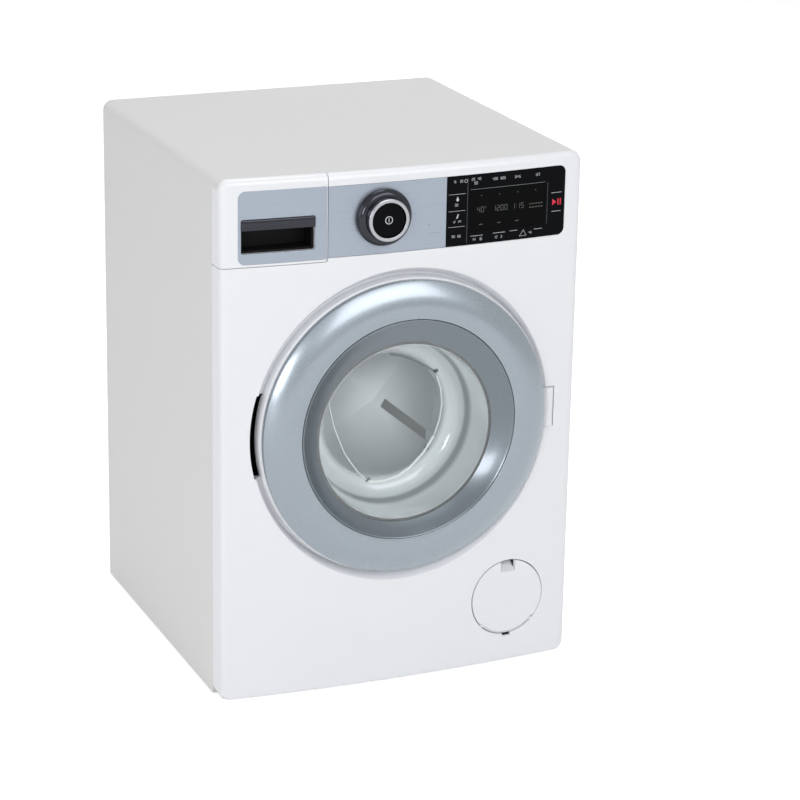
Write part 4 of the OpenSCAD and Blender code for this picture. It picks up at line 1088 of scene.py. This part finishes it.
@dataclass
class Knob:
    """Skirt, rimmed cap and power button of the programme knob."""

    shaft_r: float = 4.0
    cap_r: float = 10.2
    skirt_r: float = 13.8
    skirt_back: float = -4.9
    cap_front: float = -12.6
    cap_floor: float = -7.4
    button_y: float = -11.9
    rim: float = 1.75
    stem_back: float = 8.85

    def build_skirt(self) -> Piece:
        """Dished skirt that the cap sits in."""
        back, r = self.skirt_back, self.skirt_r
        points = [(self.shaft_r + 0.08, back), (r, back), (r, back - 1.9), (r - 1.6, back - 3.6),
                  (self.cap_r + 0.08, back - 3.9), (self.cap_r + 0.08, self.cap_floor + 0.04),
                  (self.shaft_r + 0.08, self.cap_floor + 0.04)]
        section = rounded(points, [0.1, 0.8, 0.8, 1.5, 0.25, 0.1, 0.1], 5)
        return turned("knob_skirt_ring", section, KNOB, 160, 30)

    def build_cap(self) -> Piece:
        """Cup with a bright rim, and its shaft with the bore for the button's stem."""
        r, front, floor = self.cap_r, self.cap_front, self.cap_floor
        points = [(2.2, 9.5), (self.shaft_r, 9.5), (self.shaft_r, floor), (r, floor), (r, front),
                  (r - self.rim, front), (r - self.rim, floor - 1.6), (2.2, floor - 1.6)]
        section = rounded(points, [0.1, 0.3, 0.1, 0.3, 0.55, 0.4, 0.2, 0.1], 5)
        return turned("knob_cap", section, KNOB, 160, 30)

    def build_button(self) -> Piece:
        """Shallow dish with a rounded rim, on its stem."""
        y, r, stem = self.button_y, self.cap_r - 2.0, 1.9
        points = [(0.4, y + 0.16), (r - 2.2, y + 0.05), (r, y), (r, y + 1.5), (stem, y + 1.5),
                  (stem, self.stem_back), (0.4, self.stem_back)]
        section = rounded(points, [0, 2.0, 0.5, 0.2, 0.2, 0.2, 0], 5, False)
        return turned("power_button_dish", section, KNOB, 128, 30, closed=False)


# printed marks


def ribbon(points: Line, width: float, closed: bool = False) -> list[Array]:
    """A stroke of a pen: the points moved half a width to both sides along the line's normal.

    Args:
        points: x-z points of the stroke.
        width: pen width.
        closed: whether the stroke is a ring.

    Returns:
        Its outlines, each anticlockwise. A ring has an outer and an inner one.
    """
    line = np.asarray(points, float)
    if closed:
        normal = outward(line)
        return [line + normal * width / 2, line - normal * width / 2]
    along = np.gradient(line, axis=0)
    along /= np.linalg.norm(along, axis=1, keepdims=True)
    normal = np.stack([along[:, 1], -along[:, 0]], 1) * width / 2
    line = line.copy()
    line[0] -= along[0] * width / 2
    line[-1] += along[-1] * width / 2
    return [np.concatenate([line + normal, (line - normal)[::-1]])]


SEGMENTS = {"0": "abcdef", "1": "bc", "2": "abged", "3": "abgcd", "4": "fgbc", "5": "afgcd",
            "6": "afgedc", "8": "abcdefg", "9": "abcdfg"}


def digit(sign: str, x: float, z: float, height: float, pen: float) -> list[list[Array]]:
    """Outlines of a seven-segment digit whose lower left corner is at x, z."""
    wide = height * 0.52
    gap = pen * 0.62
    spots = {"a": ((0, 2), (1, 2)), "b": ((1, 1), (1, 2)), "c": ((1, 0), (1, 1)), "d": ((0, 0), (1, 0)),
             "e": ((0, 0), (0, 1)), "f": ((0, 1), (0, 2)), "g": ((0, 1), (1, 1))}
    lines = []
    for part in SEGMENTS[sign]:
        a, b = (np.array((x + u * wide, z + v * height / 2)) for u, v in spots[part])
        step = (b - a) / np.linalg.norm(b - a) * gap
        lines.append(ribbon([a + step, b - step], pen))
    return lines


def digits(text: str, x: float, z: float, height: float, pen: float) -> list[list[Array]]:
    """Outlines of a row of digits and colons, from the left."""
    lines: list[list[Array]] = []
    for sign in text:
        if sign == ":":
            lines += [[circle(pen * 0.55, (x + pen * 0.4, z + height * k), 12)] for k in (0.28, 0.72)]
            x += height * 0.28
        else:
            lines += digit(sign, x, z, height, pen)
            x += height * 0.52 + pen + height * 0.2
    return lines


def printed(name: str, shapes: Sequence[Sequence[Array]], face: Height = bow, thick: float = 0.05,
            sunk: float = 0.03) -> Piece:
    """Printed marks: thin flat solids that lie on a face.

    Args:
        name: the piece's name.
        shapes: one outline of each mark, or the outer and the inner one of a band.
        face: y over x and z.
        thick: how far the marks stand out of the face.
        sunk: how far they reach into it.

    Returns:
        All the marks as one piece.
    """
    shell = Shell()
    for outer, *holes in shapes:
        if np.sum(np.cross(outer, np.roll(outer, -1, 0))) < 0:
            outer = outer[::-1]
        plate(shell, outer, -thick, sunk, 0.0, holes, face, 50.0)
    return shell.make(name)


@dataclass
class Panel:
    """Control strip: silver fascia, black panel, display window and their printed marks."""

    fascia: Four = (-40.15, 19.45, 219.75, 253.85)
    black: Four = (19.6, 83.05, 219.75, 253.85)
    display: Four = (31.9, 71.9, 226.2, 246.2)
    sunk: float = 0.4
    back: float = 1.55

    def build_fascia(self) -> Piece:
        """The brushed plate that the knob's shaft passes through."""
        outline = even(rectangle(*self.fascia), 6.0)
        return sheet("strip_fascia", outline, self.sunk, self.back, 0.08, [circle(5.0, KNOB, 64)])

    def build_black(self) -> Piece:
        """The black panel with rounded right corners and the display's window."""
        outline = even(rectangle(*self.black, [0, 3.35, 3.35, 0], 8), 6.0)
        window = even(rectangle(*self.display, 0.4, 3), 6.0)
        return sheet("strip_black_panel", outline, 0.0, self.back, 0.15, [window])

    def build_lens(self) -> Piece:
        """The smoked display window."""
        x0, x1, z0, z1 = self.display
        outline = even(rectangle(x0 + 0.1, x1 - 0.1, z0 + 0.1, z1 - 0.1, 0.3, 3), 6.0)
        return sheet("display_window", outline, 0.05, 0.75, 0.08)

    def build_labels(self) -> Piece:
        """White numbers and pictograms round the display."""
        shapes = [ribbon([(20.4, z), (29.0, z)], 0.14) for z in (245.1, 236.9, 229.2)]
        small = (("15", 22.4, 250.7, 1.1), ("30", 26.0, 250.7, 1.1), ("30", 23.6, 239.3, 1.15),
                 ("12", 22.6, 231.2, 1.0), ("24", 25.6, 231.2, 1.0), ("90", 22.4, 224.0, 1.1),
                 ("60", 25.4, 224.0, 1.1), ("20", 32.2, 251.1, 1.15), ("40", 35.4, 251.1, 1.15),
                 ("90", 33.6, 249.1, 1.25), ("400", 43.4, 250.3, 1.15), ("800", 47.6, 250.3, 1.15),
                 ("0:45", 55.4, 250.2, 1.15), ("123", 66.2, 250.2, 1.15), ("14", 33.0, 221.5, 1.3),
                 ("16", 36.6, 221.5, 1.3), ("12", 44.9, 221.6, 1.2), ("3", 48.4, 221.6, 1.2),
                 ("45", 63.8, 222.0, 1.0))
        for text, x, z, height in small:
            shapes += digits(text, x, z, height, 0.13)
        for x0, x1, z in ((32.4, 38.6, 223.9), (44.2, 50.6, 224.2), (53.2, 57.2, 224.4), (66.6, 71.0, 223.9),
                          (75.6, 81.2, 240.8), (76.0, 80.8, 231.6)):
            shapes.append(ribbon([(x0, z), (x1, z)], 0.2))
        drop = [(25.0, 244.0), (24.35, 242.6), (24.4, 241.9), (25.0, 241.5), (25.6, 241.9), (25.65, 242.6)]
        shapes += [ribbon(circle(0.75, (29.2, 251.2), 20), 0.2, True),
                   [rounded(drop, [0.05, 0.6, 0.5, 0.5, 0.5, 0.6], 4)],
                   [np.array([(24.4, 233.3), (25.2, 233.3), (25.8, 235.3), (25.2, 235.3)])],
                   ribbon([(58.6, 221.3), (62.3, 221.3), (60.7, 224.2)], 0.3, True)]
        return printed("panel_labels", shapes)

    def build_line(self) -> Piece:
        """Grey hairlines over and beside the display."""
        x0, x1, _, z1 = self.display
        over = [(x0 + k * (x1 - x0) / 12, z1 + 0.45) for k in range(13)]
        beside = (ribbon([(30.2, 221.0), (30.2, 252.4)], 0.12), ribbon([(73.4, 226.0), (73.4, 246.4)], 0.1))
        return printed("panel_hairlines", [ribbon(over, 0.22), *beside])

    def build_start(self) -> Piece:
        """Red start and pause pictogram."""
        return printed("start_pictogram", [[np.array([(76.2, 234.6), (78.5, 236.2), (76.2, 237.8)])],
                                           [rectangle(79.1, 79.75, 234.6, 237.8)],
                                           [rectangle(80.4, 81.05, 234.6, 237.8)]])

    def build_readout(self) -> Piece:
        """Dim numbers in the display, with a bar gauge at the right."""
        shapes = []
        for text, x in (("40", 35.6), ("1200", 43.9), ("1:15", 54.2)):
            shapes += digits(text, x, 235.2, 2.5, 0.3)
        shapes.append(ribbon(circle(0.35, (39.9, 237.5), 16), 0.14, True))
        for z in (236.4, 234.7):
            shapes += [[rectangle(63.6 + k * 1.55, 64.7 + k * 1.55, z, z + 0.5)] for k in range(5)]
        shapes += [[circle(0.3, (x, 243.3), 14)] for x in (37.6, 47.2, 57.0, 66.8)]
        shapes += [[rectangle(x - 1.0, x + 1.0, 229.0, 229.4)] for x in (37.6, 47.2, 57.0)]
        return printed("display_readout", shapes, behind(0.05), 0.03)

    def build_ticks(self) -> Piece:
        """Fine programme ticks on the fascia round the knob, as on a dial."""
        shapes = []
        for angle in np.radians(np.arange(-150, 151, 20) + 90):
            unit = np.array((math.cos(angle), math.sin(angle)))
            outer = 16.6 if abs(math.sin(angle)) > 0.8 else 17.4
            shapes.append(ribbon([unit * 15.4 + KNOB, unit * outer * 0.96 + KNOB], 0.16))
        shapes += [ribbon([(10.4, 227.4), (15.6, 227.4)], 0.16), [circle(0.4, (10.6, 231.4), 16)]]
        return printed("fascia_ticks", shapes, behind(self.sunk), 0.04)

    def build_slot_shade(self) -> Piece:
        """Painted shade: a black sheet deep in the slot under the service flap, standing in for the slot's
        shadow.
        """
        return printed("flap_slot_painted_shade", [[rectangle(56.25, 60.55, 13.85, 15.6)]], behind(1.4), 0.1, 0.1)

    def build_power(self) -> Piece:
        """Ring and bar on the power button."""
        (x, z), pen = KNOB, 0.36
        shapes = [ribbon(circle(1.75, KNOB, 48), pen, True), ribbon([(x, z - 0.8), (x, z + 0.8)], pen)]
        return printed("power_pictogram", shapes, flat(-11.76), 0.05, 0.06)


# materials


def finishes() -> Looks:
    """Builds every finish. Returns them by the record's slot names, with the inks."""
    recipes = (
        Moulded("cabinet_white", rgba(222, 222, 222), 0.42, 0.0007, 0.00002, 0.012),
        Moulded("front_white", rgba(230, 232, 236), 0.30, 0.0007, 0.00001, 0.01, coat=0.25),
        Moulded("inner_white", rgba(206, 206, 203), 0.5, 0.0007, 0.00002, 0.02),
        Moulded("black_rubber", rgba(34, 34, 34), 0.8, 0.0004, 0.00006, 0.08, edge=0.0005),
        Brushed("brushed_silver", rgba(154, 163, 175)),
        Moulded("black_gloss", rgba(8, 9, 13), 0.16, 0.0012, 0.000004, 0.05, edge=0.0, shine=0.04),
        Moulded("display_smoke", rgba(5, 6, 6), 0.1, 0.0012, 0.000003, 0.05, edge=0.0, shine=0.04),
        Moulded("electronics_black", rgba(42, 42, 44), 0.5, 0.0005, 0.00003, 0.06),
        Moulded("board_green", rgba(28, 92, 56), 0.35, 0.0006, 0.00001, 0.12, coat=0.5),
        Metallic("screw_steel", rgba(188, 189, 190), 0.3, 1.0, 0.0003, 0.1, 0.0),
        Moulded("black_matte", rgba(15, 15, 17), 0.55, 0.0005, 0.00003, 0.06, shine=0.12),
        Moulded("grey_rubber", rgba(160, 163, 165), 0.7, 0.0005, 0.00003, 0.04),
        Metallic("bush_brass", rgba(196, 158, 96), 0.4, 1.0, 0.0002, 0.2, 0.0),
        Metallic("motor_can", rgba(176, 178, 180), 0.32, 1.0, 0.0004, 0.06, 0.0),
        Moulded("cell_jacket", rgba(196, 148, 52), 0.3, 0.0006, 0.00001, 0.05, 0.6, 0.4),
        Metallic("ring_silver", rgba(138, 147, 155), 0.29, 0.92, 0.00018, 0.012, 0.8),
        Metallic("bevel_grey", rgba(105, 113, 120), 0.3, 0.85, 0.00018, 0.01, 0.5),
        Clear("clear_bowl", rgba(238, 246, 249)),
        Moulded("drum_white", rgba(226, 233, 237), 0.4, 0.0007, 0.000002, 0.02),
        Moulded("gear_ivory", rgba(226, 221, 204), 0.45, 0.0006, 0.00001, 0.03),
        Metallic("knob_silver", rgba(158, 160, 164), 0.2, 1.0, 0.0002, 0.03, 0.2),
        Metallic("dark_chrome", rgba(50, 51, 57), 0.12, 1.0, 0.0002, 0.03, 0.2),
        Ink("label_ink", rgba(200, 203, 208)),
        Ink("hairline_ink", rgba(104, 108, 112)),
        # The start mark and the readout glow by emission: painted light, as nothing lights them.
        Ink("start_ink", rgba(190, 28, 52), 0.4, 0.25),
        Ink("readout_ink", rgba(62, 66, 58), 0.3, 0.1),
        Ink("tick_ink", rgba(132, 142, 152)),
        # Near-white painted highlight on the raised line round the bowl's rear face.
        Ink("bead_highlight_ink", rgba(236, 242, 240), 0.2),
        # Grey of the painted shade along the bowl's rear edge, also used for its small tabs.
        Ink("shade_and_tab_ink", rgba(118, 124, 122), 0.3),
    )
    return {recipe.name: recipe.build() for recipe in recipes}


def dress(piece: Piece, looks: Looks, body: Body, slot: str, nodes: Sequence[str] = (),
          ink: str = "") -> None:
    """Gives a finished piece its material, its body and the nodes that it stands for.

    Args:
        piece: the piece.
        looks: materials by name.
        body: what it moves with.
        slot: its material slot in the record.
        nodes: CAD nodes that it replaces.
        ink: the ink's name, for a printed mark.
    """
    piece.data.materials.clear()
    piece.data.materials.append(looks[ink or slot])
    if nodes:
        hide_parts(*nodes)
    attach(piece, body.value)
    log.info("%s: %d faces, on %s", piece.name, len(piece.data.polygons), body.value)


def dress_frame(frame: dict, looks: Looks) -> None:
    """Gives each CAD node that still shows the material of its slot."""
    for part in frame["record"]["subparts"]:
        node = frame["nodes"][part["node"]]
        if not node.material_slots:
            node.data.materials.append(None)
        for place in node.material_slots:
            place.material = looks[part["material_slot"]]


# studio


@dataclass
class Studio:
    """Pale floor, soft lights, even surroundings and the camera."""

    eye: tuple[float, float, float] = (-0.51504, -1.27812, 0.58005)
    forward: tuple[float, float, float] = (0.37503, 0.87085, -0.31776)
    right: tuple[float, float, float] = (0.92069, -0.38986, 0.01818)
    lens: float = 128.37
    level: float = 0.25
    floor_size: float = 8.0
    floor_glow: float = 0.62

    def build_camera(self) -> None:
        """The camera looks along forward, with its own right and up axes."""
        data = bpy.data.cameras.new("camera")
        data.lens, data.sensor_width, data.clip_end = self.lens, 36.0, 50.0
        camera = bpy.data.objects.new("camera", data)
        ahead = Vector(self.forward).normalized()
        across = (Vector(self.right) - ahead * Vector(self.right).dot(ahead)).normalized()
        up = across.cross(ahead)
        turn = Matrix((across, up, -ahead)).transposed()
        camera.matrix_world = Matrix.Translation(self.eye) @ turn.to_4x4()
        bpy.context.scene.collection.objects.link(camera)
        bpy.context.scene.camera = camera

    def seen(self, book: Book) -> Sock:
        """1 for camera, glossy and transmitted rays."""
        path = [book.node("LightPath", out=name) for name in
                ("Is Camera Ray", "Is Glossy Ray", "Is Transmission Ray")]
        return book.node("Math", {"operation": "MINIMUM"}, {0: path[0] + path[1] + path[2], 1: 1.0})

    def build_floor(self) -> None:
        """A large pale plane that reads as white where no shadow falls on it."""
        shell = Shell()
        half = self.floor_size / 2 / MM
        corners = rectangle(-half, half, -half, half)
        shell.faces.append(shell.add(np.insert(corners, 2, 0.0, 1))[None])
        floor = shell.make("studio_floor")
        book = Book("studio_floor")
        glow = self.seen(book) * self.floor_glow
        grain = book.noise(book.place(), 30.0)
        floor.data.materials.append(book.surface({
            "Base Color": book.mix(grain, (0.86, 0.86, 0.86, 1), (0.88, 0.88, 0.88, 1)), "Roughness": 0.9,
            "Specular IOR Level": 0.0, "Emission Color": (1, 1, 1, 1), "Emission Strength": glow}))

    def build_world(self) -> None:
        """Even light at the studio's level. Camera, glossy and transmitted rays see white."""
        book = Book("studio", "worlds")
        strength = self.seen(book) * (1.0 - self.level) + self.level
        light = book.node("Background", {}, {"Color": (1, 1, 1, 1), "Strength": strength})
        bpy.context.scene.world = book.end(light, "World")

    def build_lamp(self, name: str, place: Floats, size: Pair, power: float) -> None:
        """An area lamp of a width and a height that faces the middle of the object."""
        data = bpy.data.lights.new(name, "AREA")
        data.shape = "RECTANGLE"
        data.size, data.size_y = size
        data.energy = power
        lamp = bpy.data.objects.new(name, data)
        aim = Vector((0, 0, 0.13)) - Vector(place)
        lamp.matrix_world = Matrix.Translation(place) @ aim.to_track_quat("-Z", "Y").to_matrix().to_4x4()
        bpy.context.scene.collection.objects.link(lamp)

    def build(self) -> None:
        """Sets up everything round the object."""
        self.build_camera()
        self.build_floor()
        self.build_world()
        self.build_lamp("key", (0.36, -1.58, 1.14), (1.4, 1.1), 15.0)
        self.build_lamp("glint", (-1.14, -1.41, 0.5), (0.5, 0.5), 7.0)
        self.build_lamp("fill", (-1.84, -0.2, 0.6), (1.2, 1.2), 6.0)
        self.build_lamp("top", (0.1, 0.3, 2.1), (1.2, 1.2), 14.0)
        self.build_lamp("rear", (1.2, 1.35, 0.13), (1.6, 0.24), 6.0)
        bpy.context.scene.view_settings.view_transform = "Standard"


def build_pieces(looks: Looks) -> None:
    """Models the pieces body by body. A row is a builder, its body, slot, replaced nodes and ink."""
    panel, door, drawer, knob = Panel(), Door(), Drawer(), Knob()
    cabinet, leaf, tray = Body.CABINET, Body.DOOR, Body.DRAWER
    for build, *look in (
            (Front().build, cabinet, "front_white", ["front_panel"]),
            (Cabinet().build, cabinet, "cabinet_white", ["cabinet_shell"]),
            (panel.build_fascia, cabinet, "brushed_silver", ["fascia_plate"]),
            (panel.build_black, cabinet, "black_gloss", ["control_panel"]),
            (panel.build_lens, cabinet, "display_smoke", ["display_lens"]),
            (panel.build_labels, cabinet, "black_gloss", (), "label_ink"),
            (panel.build_line, cabinet, "black_gloss", (), "hairline_ink"),
            (panel.build_start, cabinet, "black_gloss", (), "start_ink"),
            (panel.build_readout, cabinet, "black_gloss", (), "readout_ink"),
            (panel.build_ticks, cabinet, "black_gloss", (), "tick_ink"),
            # A black sheet in the flap's slot, painted shade.
            (panel.build_slot_shade, cabinet, "black_matte"),
            (door.build_ring, leaf, "ring_silver", ["door_ring"]),
            (door.build_bevel, leaf, "bevel_grey", ["door_bevel"]),
            (door.build_window, leaf, "clear_bowl", ["door_window"]),
            # The bead's near-white is a painted highlight on the bowl.
            (door.build_bead_highlight, leaf, "clear_bowl", (), "bead_highlight_ink"),
            (door.build_shade_and_tabs, leaf, "clear_bowl", (), "shade_and_tab_ink"),
            (door.build_body, leaf, "front_white", ["door_body"]),
            (Drum().build_back, Body.DRUM, "drum_white", ["drum_back"]),
            (knob.build_skirt, Body.KNOB, "dark_chrome", ["knob_skirt"]),
            (knob.build_cap, Body.KNOB, "knob_silver", ["knob_body"]),
            (knob.build_button, Body.BUTTON, "black_gloss", ["power_button", "button_stem"]),
            (panel.build_power, Body.BUTTON, "black_gloss", (), "label_ink"),
            (drawer.build_front, tray, "front_white", ["drawer_front"]),
            (drawer.build_inlay, tray, "brushed_silver", ["drawer_inlay"]),
            (drawer.build_bar, tray, "dark_chrome", ["grip_bar"])):
        dress(build(), looks, *look)


def main() -> None:
    """Builds the object and its studio."""
    logging.basicConfig(level=logging.INFO, format="%(name)s: %(message)s")
    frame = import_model()
    Shell.place_y = (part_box("cabinet_shell")[1][1] / MM) - Cabinet.depth
    looks = finishes()
    dress_frame(frame, looks)
    build_pieces(looks)
    Studio().build()


if __name__ == "__main__":
    main()
